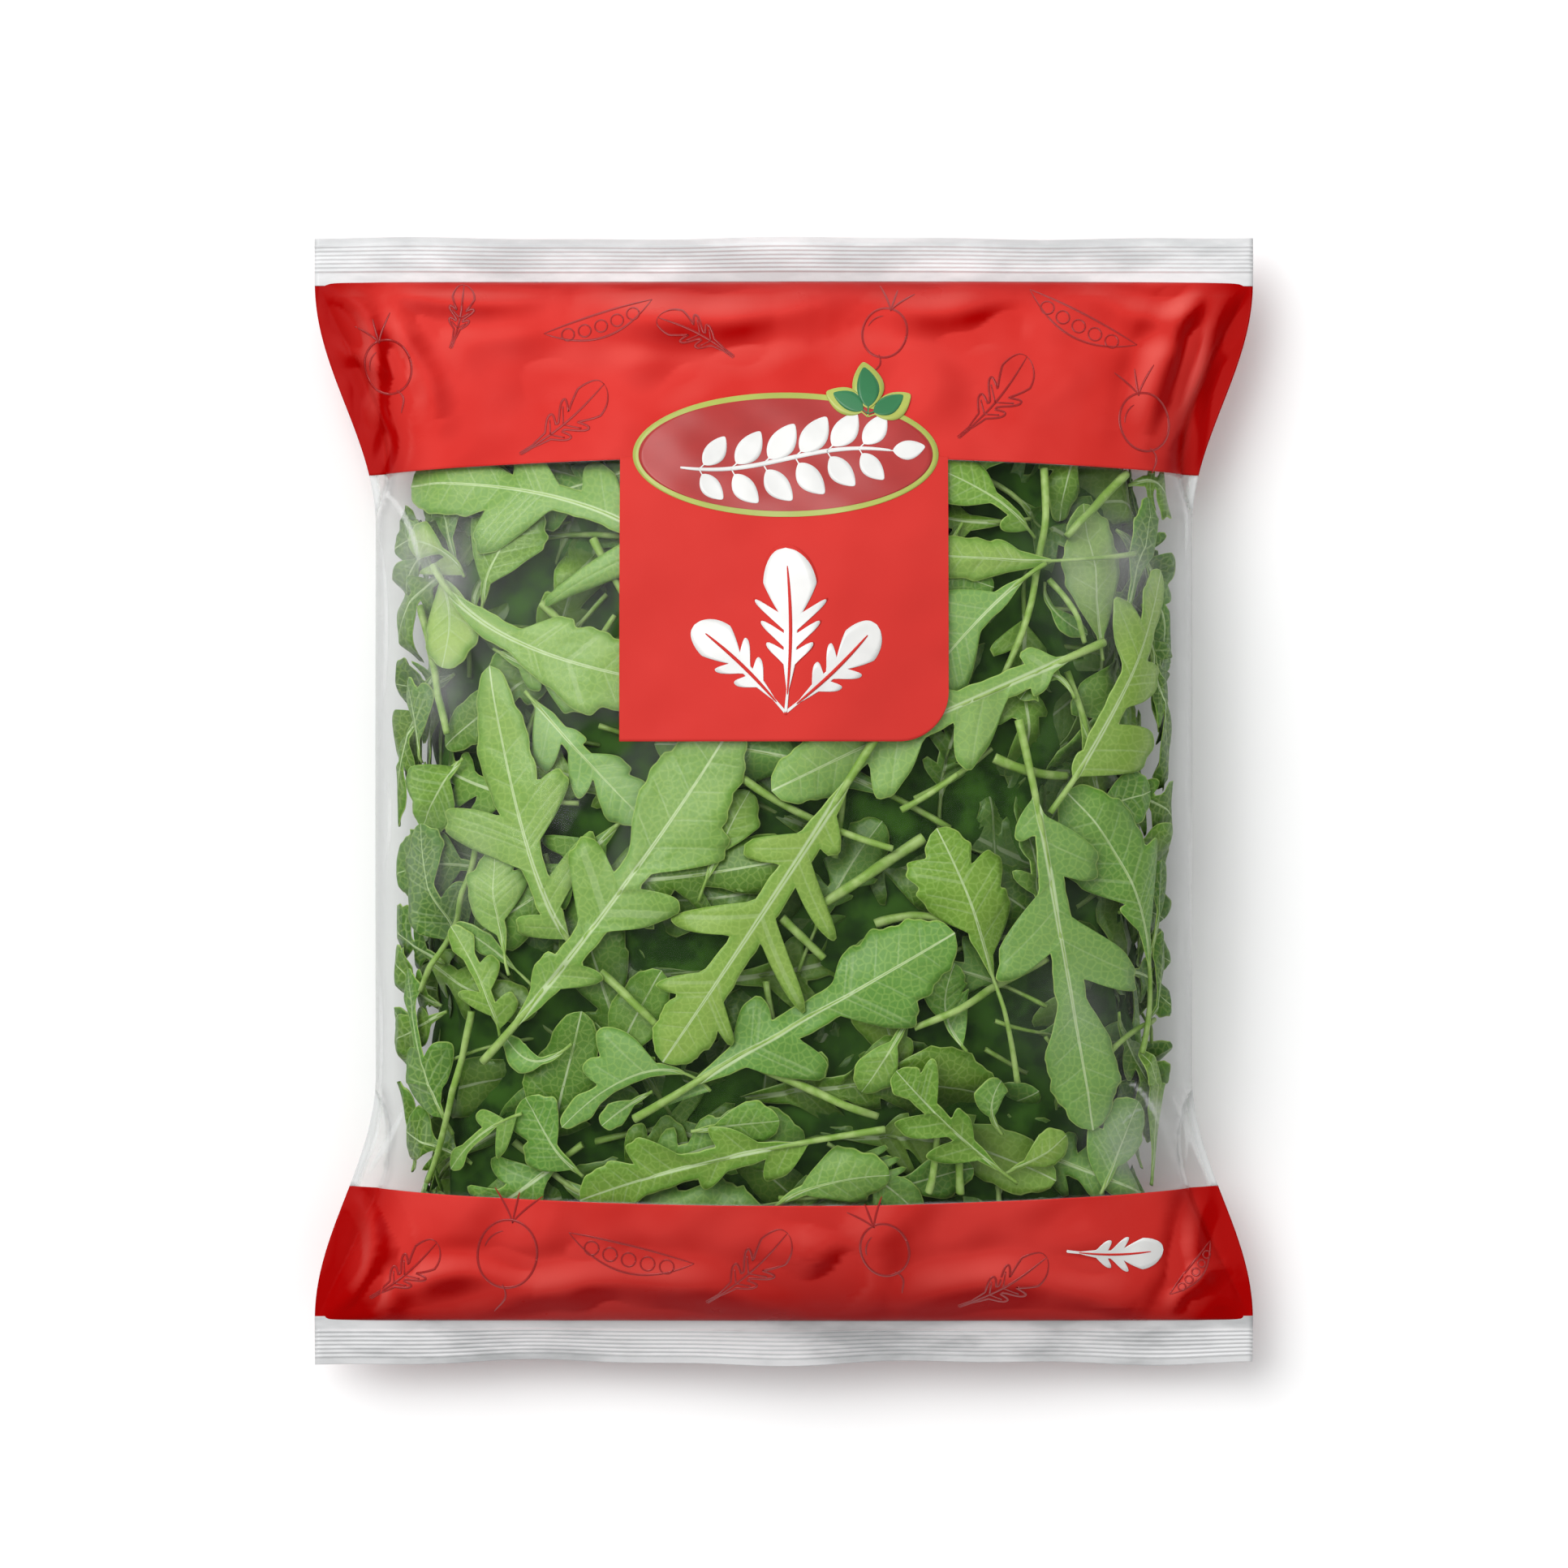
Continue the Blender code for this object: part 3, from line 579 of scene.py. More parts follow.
def plainInk(name, colour, rough=0.3):  # one flat colour with a faint mottle
    material, tree, shader = newMaterial(name)
    share = mapRange(tree, noiseNode(tree, 60, 3), 0.35, 0.65, 0, 1)
    darker = tuple(c * 0.88 for c in colour)
    tree.links.new(mixColour(tree, share, colour, darker), shader.inputs["Base Color"])
    setGloss(shader, rough, 0.45)
    return material


def sealMaterial(name, pale, dark):  # satin white with long soft patches along the seal
    material, tree, shader = newMaterial(name)
    share = mapRange(tree, noiseNode(tree, 38, 4, 0.6, (0.6, 2.2, 1)), 0.36, 0.66, 0, 1)
    colour = mixColour(tree, share, pale, dark)
    tree.links.new(colour, shader.inputs["Base Color"])
    setGloss(shader, 0.30, 0.5)
    tree.links.new(bumpNode(tree, noiseNode(tree, 420, 3, 0.5), 0.2, 0.0004), shader.inputs["Normal"])
    return material


bladeGreen, stalkGreen, insideShade = leafMaterial(), stalkMaterial(), coreMaterial()
clearFilm = filmMaterial()
headSealWhite = sealMaterial("head_seal_white", (0.80, 0.805, 0.81), (0.58, 0.59, 0.595))
# the foot seal: the same white, darker as painted shade
footSealShaded = sealMaterial("foot_seal_painted_shade", (0.68, 0.685, 0.69), (0.40, 0.41, 0.415))
redPrint = redMaterial("red_print", (0.650, 0.044, 0.036), (0.590, 0.029, 0.023))
redLabel = redMaterial("red_label", (0.625, 0.042, 0.034), (0.600, 0.038, 0.031), 0.42)
lineInk = plainInk("dark_red_lines", (0.350, 0.009, 0.008))
badgeRed = plainInk("badge_red", (0.420, 0.030, 0.027))
limeInk = plainInk("lime_outline", (0.420, 0.480, 0.095))
leafInk = plainInk("leaf_green_ink", (0.030, 0.190, 0.070))
whiteInk = plainInk("white_ink", (0.820, 0.820, 0.800))
print("materials ready")


# The film and its printed bands
def ringColumns():  # across the front from left to right, then back under the bag, as sines
    front = np.linspace(-1, 1, film["ringFront"] + 1)[:-1]
    back = np.linspace(1, -1, film["ringBack"] + 1)[:-1]
    column = np.concatenate([front, back])
    return np.sin(np.pi / 2 * column), np.arange(len(column)) < len(front)


def fromFold(x, z):  # how far each point of a ring lies from the folds at both sides, along the film, in mm
    step = np.hypot(np.roll(x, -1, 1) - x, np.roll(z, -1, 1) - z)
    travel = np.cumsum(step, axis=1) - step
    whole, fold = step.sum(1, keepdims=True), travel[:, film["ringFront"]][:, None]
    return np.minimum(np.minimum(travel, whole - travel), np.abs(travel - fold)) * 1000


def sleeve(name, lowEdge, highEdge, rows, material):
    # ring by ring between two edges across the bag: x = half width * sine, z = front or back film;
    # the print's edge lies a little further in on the back, where backTuck widens the window
    across, onTop = ringColumns()
    share = np.linspace(0, 1, rows)[:, None]
    guess = across[None, :] * bag["waist"] / 2
    tuck = printing["backTuck"] * np.where(onTop, 0, 1 - across ** 8)[None, :]
    low, high = lowEdge(guess, tuck), highEdge(guess, tuck)
    y = low + (high - low) * share
    x = halfWidth(y) * across[None, :]
    front, back = filmFront(x, y), backHeight(x, y)
    rim = np.abs(across[None, :]) > 0.99999
    z = np.where(onTop[None, :] & ~rim, front, np.where(rim, sideHeight(x, y), back))
    points = np.stack([x, y, z], axis=-1)
    looks = dict(fromSide=fromFold(x, z), creased=np.where(onTop[None, :], creaseShare(x, y), 0),
                 paintedInkShade=paintedInkShade(x, y), paintedInkHighlight=paintedInkHighlight(x, y), paintedReflection=paintedReflection(x, y))
    piece = makePiece(name, points.reshape(-1, 3), gridQuads(*x.shape, closed=True), material,
                      attributes={title: values.ravel() for title, values in looks.items()})
    wall = piece.modifiers.new("wall", "SOLIDIFY")
    wall.thickness = film["thick"]
    wall.offset = -1
    return piece


def headEdge(x, tuck):
    return bandEdge(x, 1) + tuck


def footEdge(x, tuck):
    return bandEdge(x, -1) - tuck


def headWeld(x, tuck):
    return 0 * x + bag["halfBody"]


def footWeld(x, tuck):
    return 0 * x - bag["halfBody"]


windowFilm = sleeve("window_film", footEdge, headEdge, film["windowRows"], clearFilm)
headBand = sleeve("head_band", headEdge, headWeld, film["bandRows"], redPrint)
footBand = sleeve("foot_band", footWeld, footEdge, film["bandRows"], redPrint)
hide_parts("salad_bag")
print("film and bands made")

# the crimped fins; the foot's is drawn out more than the head's
seals = dict(columns=180, rows=64, thick=0.0009, ridges=7, ridgeStart=0.0022, ridgeEnd=0.0098, ridge=0.00042,
             tuckedIn=0.0012, past=0.0010, wave=0.0010, edgeWave=0.0006,
             foot=dict(name="foot_seal", edge=1.0, sag=1.0, droop=0.0030, white=footSealShaded),
             head=dict(name="head_seal", edge=0.45, sag=0.4, droop=0.0, white=headSealWhite))


def makeSeal(end):
    # a flat fin: slow waves across, and a run of rounded ridges along X between two plain strips
    own = seals["head"] if end > 0 else seals["foot"]
    share = np.linspace(0, 1, seals["rows"])[:, None]
    across = np.linspace(-1, 1, seals["columns"])[None, :]
    x = across * bag["width"] / 2 + 0 * share
    wander = seals["edgeWave"] * (np.sin(58 * x + end) + 0.5 * np.sin(131 * x + 2 * end)) * share
    place = -seals["tuckedIn"] + (bag["seal"] + seals["past"]) * share
    y = end * (bag["halfBody"] + place) + wander * own["edge"]
    turn = seals["ridges"] * (place - seals["ridgeStart"]) / (seals["ridgeEnd"] - seals["ridgeStart"])
    inside = (place > seals["ridgeStart"]) & (place < seals["ridgeEnd"])
    fine = 0.25 * np.sin(2 * np.pi * turn * 3)
    ridges = seals["ridge"] * (0.5 - 0.5 * np.cos(2 * np.pi * turn) + 0.12 * fine) * inside
    sag = seals["wave"] * own["sag"] * share * (np.sin(44 * x + 0.8) + 0.6 * np.sin(93 * x + 2.2))
    z = sealHeight(x) + seals["thick"] / 2 + ridges + sag - own["droop"] * share
    top = np.stack([x, y, z], axis=-1)[::end]  # turned round at the foot, so that its faces point outwards
    slab(own["name"], top, seals["thick"], own["white"])


makeSeal(1)
makeSeal(-1)

# the lap seam: a strip under the back film, wound the other way and thickened upwards
seam = dict(half=0.0055, length=0.268, rows=150, columns=9, rise=0.0005, thick=0.0004, offTable=0.00005)
seamY, seamX = np.meshgrid(np.linspace(-seam["length"] / 2, seam["length"] / 2, seam["rows"]),
                           np.linspace(seam["half"], -seam["half"], seam["columns"]), indexing="ij")
seamZ = np.maximum(backHeight(seamX, seamY) - seam["rise"], seam["offTable"])
backSeam = slab("back_seam", np.stack([seamX, seamY, seamZ], axis=-1), -seam["thick"], clearFilm)
print("seals and back seam made")

# A leaf's outline, used for the leaves and for the printed drawings of leaves
# dim and dimOver, stalkDim and stalkDimOver: the depth where the painted shade of leaves and stalks begins,
# and how much deeper it is full
leafShape = dict(lean=60, leanDip=8, leanOpen=30, thick=0.00034, least=0.00045, deepest=0.0098, gap=0.00024,
                 wave=0.013, fineWave=0.0057, frillWave=0.023, curlBack=4.5, dim=0.0030, dimOver=0.0080,
                 stalkDim=0.0022, stalkDimOver=0.0085)


def leafHalves(t, spec, length, hand):
    # half width = (wing^5 + each lobe^5 + end lobe^5)^(1/5), a lobe being reach * (1 - |d|^2.5)^0.55; the
    # end lobe is an oval, ((u + out * cos lean) / long)^2 + (out * sin lean / broad)^2 = 1, solved for out
    end = np.clip((t - spec["endStart"]) / (1 - spec["endStart"]), 0, 1)
    total = (spec["wing"] * np.clip((t - spec["stalk"]) / 0.14, 0, 1) ** 0.8 * (0.65 + 0.8 * t)
             * (1 - end ** 2) ** 0.8) ** 5
    for place, side, reach, spread in spec["lobes"]:
        if side == hand:
            away = np.clip(np.abs(t - place) / spread, 0, 1)
            total = total + (reach * (1 - away ** 2.5) ** 0.55) ** 5
    long, broad = (1 - spec["endStart"]) / 2 * length, 0.94 * spec["endHalf"]
    u, lean = (2 * end - 1) * long, leanAt(t)
    square = (np.cos(lean) / long) ** 2 + (np.sin(lean) / broad) ** 2
    slope = u * np.cos(lean) / long ** 2
    out = (np.sqrt(slope ** 2 + square * np.maximum(1 - (u / long) ** 2, 0)) - slope) / square
    total = total + (np.maximum(out, 0) * np.minimum(end / 0.3, 1) ** 0.5) ** 5
    turns = 2 * np.pi * t * length
    wave = 1 + spec["frill"] * (np.sin(turns / leafShape["wave"] + spec["phase"] * hand)
                                + 0.6 * np.sin(turns / leafShape["fineWave"] + 2 * spec["phase"]))
    return total ** 0.2 * wave * np.clip((1 - t) / 0.012, 0, 1) ** 0.5 + leafShape["least"] * (1 - t)


def leanAt(t):  # the angle between the midrib and a vein, in radians: opening out at the tip
    opening = np.clip((t - 0.80) / 0.20, 0, 1) ** 2
    dip = leafShape["leanDip"] * np.sin(np.pi * t)
    return np.radians(leafShape["lean"] - dip + leafShape["leanOpen"] * opening)


# The label and the printed drawings
label = dict(rows=90, columns=90, lift=0.00014, thick=0.00010, overBand=0.0008)
labelAcross = np.sin(np.linspace(-1, 1, label["columns"]) * np.pi / 2)[None, :]
labelX = labelAcross * printing["labelHalf"] + np.zeros((label["rows"], 1))
cornerRound = printing["labelRound"]  # the one rounded corner: a quarter circle
intoCorner = np.clip(labelX - (printing["labelHalf"] - cornerRound), 0, None) / cornerRound
labelLow = printing["labelLow"] + cornerRound * (1 - np.sqrt(np.maximum(1 - intoCorner ** 2, 0)))
labelHigh = bandEdge(labelX, 1) + label["overBand"]
labelY = labelLow + (labelHigh - labelLow) * np.linspace(0, 1, label["rows"])[:, None]
labelTop = np.stack([labelX, labelY, filmFront(labelX, labelY, label["lift"])], axis=-1)
labelPanel = slab("label_panel", labelTop, label["thick"], redLabel)


def layInk(name, plans, material, lift, thick=0.00006):
    # each plan is a grid of (x, y), laid on the film at its lift as a thin closed sheet
    allPoints, allQuads, count = [], [], 0
    for plan in plans:
        x, y = plan[..., 0], plan[..., 1]
        top = np.stack([x, y, filmFront(x, y, lift)], axis=-1)
        allPoints.append(bothSides(top, top - np.array([0, 0, thick])))
        allQuads.append(slabQuads(*plan.shape[:2]) + count)
        count += 2 * x.size
    piece = makePiece(name, np.concatenate(allPoints), np.concatenate(allQuads), material)
    return piece


def ribbon(line, half):  # a line widened to both sides by half
    line = np.asarray(line, float)
    side = alongPath(line)[1]
    half = np.broadcast_to(half, len(line))[:, None]
    return np.stack([line - side * half, line, line + side * half], axis=1)


def taper(count, half, least=0.25):  # a pen stroke's half width: full in the middle, thin at the ends
    return half * (least + (1 - least) * np.sin(np.pi * np.linspace(0, 1, count)) ** 0.5)


def turned(line, x, y, size, degrees):  # a motif's own outline, sized, turned and set in place
    angle = math.radians(degrees)
    spin = np.array([[math.cos(angle), math.sin(angle)], [-math.sin(angle), math.cos(angle)]])
    return np.asarray(line) * size @ spin + np.array([x, y])


def rocketPlan(x, y, size, degrees, pairs=2, bow=0.05, rows=110):
    # a rocket leaf flat: spine bowed by a sine, half width as in leafHalves, along leaning veins
    t = np.linspace(0, 1, rows)
    lobes = [(0.26 + 0.30 * (k + 0.5) / pairs, hand, size * (0.17 + 0.05 * k), 0.115 / pairs)
             for k in range(pairs) for hand in (-1, 1)]
    spec = dict(stalk=0.14, wing=0.045 * size, lobes=lobes, endStart=0.52, endHalf=0.17 * size, frill=0.0,
                phase=0.0)
    s = np.linspace(-1, 1, 9)[None, :]
    half = np.where(s < 0, leafHalves(t, spec, size, -1)[:, None], leafHalves(t, spec, size, 1)[:, None])
    lean = leanAt(t)[:, None]
    across = s * half * np.sin(lean) + size * bow * np.sin(np.pi * t)[:, None]
    forward = t[:, None] * size + np.abs(s) * half * np.cos(lean)
    return turned(np.stack([across, forward], axis=-1), x, y, 1, degrees)


def leafMotif(x, y, size, degrees, pairs=2):
    # the outline of the flat leaf, its midrib and two veins into each lobe
    plan = rocketPlan(x, y, size, degrees, pairs)
    rows, middle = len(plan), plan.shape[1] // 2
    made = [ribbon(line, taper(rows, 0.00030)) for line in (plan[:, 0], plan[:, -1], plan[:, middle])]
    for k in range(pairs):
        row = int((0.26 + 0.30 * (k + 0.5) / pairs) * (rows - 1))
        for hand in (-1, 1):
            vein = plan[row, ::hand][middle:] * 0.75 + plan[row, middle] * 0.25
            made.append(ribbon(vein, np.full(len(vein), 0.00020)))
    return made


def stroke(across, up, place, half, even=False):  # one pen stroke of a motif that is set at its place
    line = turned(np.column_stack([across, up]), *place)
    return ribbon(line, np.full(len(line), half) if even else taper(len(line), half))


def podMotif(*place, seeds=5):  # a pea pod: two arcs that meet at both ends, with rings inside
    u = np.linspace(-1, 1, 70)
    made = [stroke(u, bow * (1 - u ** 2) + 0.16 * u ** 2, place, 0.00030) for bow in (0.20, -0.24)]
    around = np.linspace(0, 2 * np.pi, 40)
    for seed in range(seeds):
        along = -0.6 + 1.2 * seed / (seeds - 1)
        made.append(stroke(along + 0.11 * np.cos(around), 0.11 * np.sin(around) - 0.03 + 0.1 * along ** 2,
                           place, 0.00022, even=True))
    return made


def radishMotif(*place):
    # a round root: r = 0.45 (1 - 0.08 cos 2a), a thin tail below, three stems above and a glint
    around = np.linspace(0, 2 * np.pi, 90)
    reach = 0.45 * (1 - 0.08 * np.cos(2 * around))
    u = np.linspace(0, 1, 40)
    glint = 1.9 + 1.1 * u
    return [stroke(reach * np.cos(around), reach * np.sin(around), place, 0.00030, even=True),
            stroke(0.07 * np.sin(4 * u), -0.44 - 0.42 * u, place, 0.00026),
            *(stroke(lean * u ** 1.3, 0.44 + 0.46 * u, place, 0.00028) for lean in (-0.32, 0.03, 0.36)),
            stroke(0.33 * np.cos(glint), 0.33 * np.sin(glint), place, 0.00022)]


bandDrawings = (  # motif, pixel, pixel, size in mm, turn in degrees
    (radishMotif, 478, 452, 15, 20), (leafMotif, 640, 560, 29, -50), (podMotif, 740, 400, 15, 18),
    (leafMotif, 905, 440, 23, 62), (radishMotif, 1090, 410, 14, -15), (leafMotif, 1180, 540, 29, -40),
    (podMotif, 1330, 400, 16, -28), (radishMotif, 1410, 520, 16, 12), (leafMotif, 555, 430, 18, -10),
    (leafMotif, 455, 1600, 24, -50), (radishMotif, 625, 1545, 19, -10), (podMotif, 775, 1550, 17, -14),
    (leafMotif, 870, 1605, 29, -48), (radishMotif, 1090, 1540, 15, 25), (leafMotif, 1180, 1610, 27, -60),
    (podMotif, 1472, 1566, 9, 52),
)
drawn = []
for motif, px, py, size, degrees in bandDrawings:
    x, y = onFront(px, py)
    drawn += motif(float(x), float(y), size / 1000, degrees)
layInk("printed_drawings", drawn, lineInk, 0.00007)
print("label and drawings made")

# The plain badge and the leaf drawing on the label
badge = dict(px=968, py=560, half=0.0385, tall=0.0150, lift=0.00026, outline=0.00075)
badgeX, badgeY = (float(v) for v in onFront(badge["px"], badge["py"]))


def oval(grow=0.0):  # a grid across an ellipse: x = u * half * cos v, y = tall * sin v
    v = np.linspace(-1.54, 1.54, 60)[:, None]
    u = np.linspace(-1, 1, 60)[None, :]
    return np.stack([badgeX + u * (badge["half"] + grow) * np.cos(v),
                     badgeY + (badge["tall"] + grow) * np.sin(v) + 0 * u], axis=-1)


def inkLeaf(x, y, size, degrees, half=0.24, rows=40):
    # a small plain leaf: half width = half * sin(pi t^0.8)^0.8
    t = np.linspace(0.0, 1, rows)
    blade = np.clip((t - 0.16) / 0.84, 0, 1)
    wide = half * np.sin(np.pi * blade ** 0.8) ** 0.8 + 0.014
    s = np.linspace(-1, 1, 7)[None, :]
    forward = t[:, None] + np.abs(s) * wide[:, None] * 0.12
    across = s * wide[:, None] + 0.05 * np.sin(np.pi * t)[:, None]
    return turned(np.stack([across, forward], axis=-1), x, y, size, degrees)


# the plate and its edge, then a sprig of leaves along a bowed stem, each coat of ink above the last
layInk("badge_edge", [oval(2 * badge["outline"])], limeInk, badge["lift"], 0.00010)
layInk("badge_plate", [oval()], badgeRed, badge["lift"] + 0.00006, 0.00010)
stemT = np.linspace(-1, 1, 80)
stem = np.column_stack([badgeX + 0.0275 * stemT, badgeY - 0.0012 + 0.0028 * np.sin(2.2 * stemT)])
sprig = [ribbon(stem, taper(80, 0.0006, 0.4))]
for place in np.linspace(0.10, 0.86, 6):
    x, y = stem[int(place * 79)]
    size = 0.0125 * (0.78 + 0.3 * math.sin(math.pi * place))
    sprig += [inkLeaf(x, y, size, -38), inkLeaf(x, y, size * 0.92, -142)]
sprig.append(inkLeaf(stem[-1, 0] - 0.001, stem[-1, 1], 0.010, -84))
layInk("badge_sprig", sprig, whiteInk, badge["lift"] + 0.00012)
tuftX, tuftY = badgeX + 0.0215, badgeY + badge["tall"] * 0.72
tuft = ((0.0105, -62), (0.0125, 4), (0.0105, 58))  # size and turn of its three leaves
layInk("badge_tuft_edge", [inkLeaf(tuftX, tuftY - 0.0008, size + 0.0022, turn, 0.27) for size, turn in tuft],
       limeInk, badge["lift"] + 0.00020)
layInk("badge_tuft", [inkLeaf(tuftX, tuftY, size, turn, 0.22) for size, turn in tuft], leafInk,
       badge["lift"] + 0.00028)

# a bunch of three rocket leaves in the middle of the label, and one small leaf near the foot
bunch = ((0.0330, 46, 2), (0.0330, -46, 2), (0.0430, 0, 3))  # size, turn and pairs of lobes
bunchX, bunchY = (float(v) for v in onFront(968, 878))
bunchLeaves = [rocketPlan(bunchX, bunchY, size, degrees, pairs, 0.03) for size, degrees, pairs in bunch]


def inkRib(plan, cut, half):  # the midrib of a flat leaf, cut off short of both ends
    return ribbon(plan[cut:-cut, plan.shape[1] // 2], taper(len(plan) - 2 * cut, half, 0.2))


layInk("label_leaves_side", bunchLeaves[:2], whiteInk, badge["lift"])
layInk("label_leaf_middle_edge", [rocketPlan(bunchX, bunchY - 0.0006, 0.0446, 0, 3, 0.03)], redLabel,
       badge["lift"] + 0.00004)
layInk("label_leaf_middle", bunchLeaves[2:], whiteInk, badge["lift"] + 0.00008)
layInk("label_leaf_ribs", [inkRib(plan, 12, 0.00045) for plan in bunchLeaves], redLabel,
       badge["lift"] + 0.00013)
smallX, smallY = (float(v) for v in onFront(1314, 1542))
smallLeaf = rocketPlan(smallX, smallY, 0.0260, -90, 2, 0.04)
layInk("foot_leaf", [smallLeaf], whiteInk, 0.00022)
layInk("foot_leaf_rib", [inkRib(smallLeaf, 14, 0.0003)], redPrint, 0.00028)
print("badge made")

# The pile's shell: a place (p around the bag, y along it, depth under the film)
shell = dict(rows=251, low=-0.125, high=0.125, side=200, clearance=0.0011, standOff=0.0095, rimFrom=0.84,
             rimOver=0.15, near=((0, 3), (1, 4)))
shellY = np.linspace(shell["low"], shell["high"], shell["rows"])


def halfSection(y, hand):  # from the front's middle round one side to the back's middle, at even steps
    c = np.linspace(0, 1, 260)
    x = hand * (halfWidth(y) - earWidth(y)) * np.sin(np.pi / 2 * c)
    front = np.column_stack([x, frontHeight(x, y)])
    back = np.column_stack([x, backHeight(x, y)])[::-1]
    path = np.concatenate([front, back])
    step = np.concatenate([[0], np.cumsum(np.hypot(*np.diff(path, axis=0).T))])
    even = np.linspace(0, step[-1], shell["side"] + 1)
    return np.column_stack([np.interp(even, step, path[:, k]) for k in (0, 1)]), step[-1]


shellPoints = np.zeros((shell["rows"], 2 * shell["side"] + 1, 3))
halfRound = np.zeros(shell["rows"])
for k, y in enumerate(shellY):
    right, roundRight = halfSection(y, 1)
    left, roundLeft = halfSection(y, -1)
    ring = np.concatenate([left[::-1], right[1:]])
    shellPoints[k] = np.column_stack([ring[:, 0], np.full(len(ring), y), ring[:, 1]])
    halfRound[k] = (roundRight + roundLeft) / 2
acrossStep = np.roll(shellPoints, -1, axis=1) - np.roll(shellPoints, 1, axis=1)
acrossStep[:, 0] = acrossStep[:, -1] = shellPoints[:, 1] - shellPoints[:, -2]
alongStep = np.gradient(shellPoints, axis=0)
shellNormals = np.cross(acrossStep, alongStep)
shellNormals /= np.linalg.norm(shellNormals, axis=-1, keepdims=True)
for k in range(3):  # evened out along the rows, where the film turns sharply
    shellNormals = (shellNormals + np.roll(shellNormals, 1, axis=1) + np.roll(shellNormals, -1, axis=1))
    shellNormals /= np.linalg.norm(shellNormals, axis=-1, keepdims=True)


def shellRow(y):  # how many rows up the tables a place along the bag lies
    return (y - shell["low"]) / (shell["high"] - shell["low"]) * (shell["rows"] - 1)


def shellPlace(p, y):  # row and column of the tables at a place, the column wrapping round the bag
    row = np.clip(shellRow(y), 0, shell["rows"] - 1.001)
    turn = p / np.interp(y, shellY, halfRound)
    turn = (turn + 1) % 2 - 1
    return row, np.clip((turn + 1) * shell["side"], 0, 2 * shell["side"] - 0.001)


def readTable(table, row, column):  # bilinear
    r, c = row.astype(int), column.astype(int)
    u, v = row - r, column - c
    if table.ndim == 3:
        u, v = u[..., None], v[..., None]
    return ((table[r, c] * (1 - u) + table[r + 1, c] * u) * (1 - v)
            + (table[r, c + 1] * (1 - u) + table[r + 1, c + 1] * u) * v)


def fromShell(p, y, depth):  # film point - normal * depth
    row, column = shellPlace(p, y)
    point = readTable(shellPoints, row, column)
    normal = readTable(shellNormals, row, column)
    return point - normal * depth[..., None]


def aroundBag(x, y):  # how far round from the front's middle a point of the front lies
    row = min(max(int(round(shellRow(y))), 0), shell["rows"] - 1)
    xs = shellPoints[row, :, 0]
    first, last = int(np.argmin(xs)), int(np.argmax(xs))
    column = np.interp(x, xs[first:last + 1], np.arange(first, last + 1))
    return (column / shell["side"] - 1) * halfRound[row]


# how far the pile stands off from the film round the sides of the bag, and the deepest used so far
rimShare = np.abs(shellPoints[..., 0]) / np.max(np.abs(shellPoints[..., 0]), axis=1, keepdims=True)
rimRise = np.clip((rimShare - shell["rimFrom"]) / shell["rimOver"], 0, 1)
standOff = shell["standOff"] * rimRise ** 2 * (3 - 2 * rimRise)
lowest = np.full(standOff.shape, shell["clearance"])


def smoothCeiling(deep):  # the deepest within a few millimetres, then averaged: never above what is there
    for blend in (np.max, np.mean):
        for axis, reach in shell["near"]:
            deep = blend([np.roll(deep, k, axis) for k in range(-reach, reach + 1)], axis=0)
    return deep


def pressDown(p, y, depth):  # marks the cells under a leaf as used down to its underside
    row, column = shellPlace(p, y)
    r, c = row.astype(int), column.astype(int)
    for dr in (0, 1):
        for dc in (0, 1):
            np.maximum.at(lowest, (r + dr, c + dc), depth)


def lobeFromTip(line, tip, length, halfMm=None):
    # place, side, reach and spread: the place along the midrib whose slanting vein passes nearest to the tip
    t = np.linspace(0.02, 0.98, 220)
    middle = curveThrough(*line, t)
    ahead, side = alongPath(middle)
    lean = leanAt(t)[:, None]
    to = np.asarray(tip) - middle
    best = None
    for hand in (-1, 1):
        vein = ahead * np.cos(lean) + hand * side * np.sin(lean)
        reach = np.sum(to * vein, axis=1)
        miss = np.linalg.norm(to - vein * reach[:, None], axis=1) + (reach < 0) * 1.0
        k = int(np.argmin(miss))
        if best is None or miss[k] < best[0]:
            best = (miss[k], t[k], hand, reach[k])
    half = halfMm / 1000 if halfMm else float(np.clip(0.27 * best[3] + 0.0011, 0.0027, 0.0064))
    return best[1], best[2], best[3], half / (length * math.sin(leanAt(np.array(best[1]))))


def leafVeins(spec):  # where veins leave the midrib: one to each lobe and five in the end lobe
    places = [place for place, side, reach, spread in spec["lobes"]]
    end = spec["endStart"]
    return sorted(places + [end + (1 - end) * k for k in (0.02, 0.20, 0.38, 0.56, 0.74)])


leafTitles = ("fromVein", "fromRib", "fromEdge", "leafTint", "leafWarm", "leafDepth")


def newGroup():  # what becomes one piece: lists of arrays, one entry for each leaf or stalk in it
    lists = ("points", "quads", "caps", "slots", "capSlots", *leafTitles)
    return dict(count=0, **{title: [] for title in lists})


def addShell(group, points, quads, caps, slot, **values):
    group["points"].append(points)
    group["quads"].append(quads + group["count"])
    group["caps"] += [np.asarray(cap) + group["count"] for cap in caps]
    group["slots"].append(np.full(len(quads), slot))
    group["capSlots"] += [slot] * len(caps)
    for title in leafTitles:
        group[title].append(np.broadcast_to(values[title], len(points)))
    group["count"] += len(points)


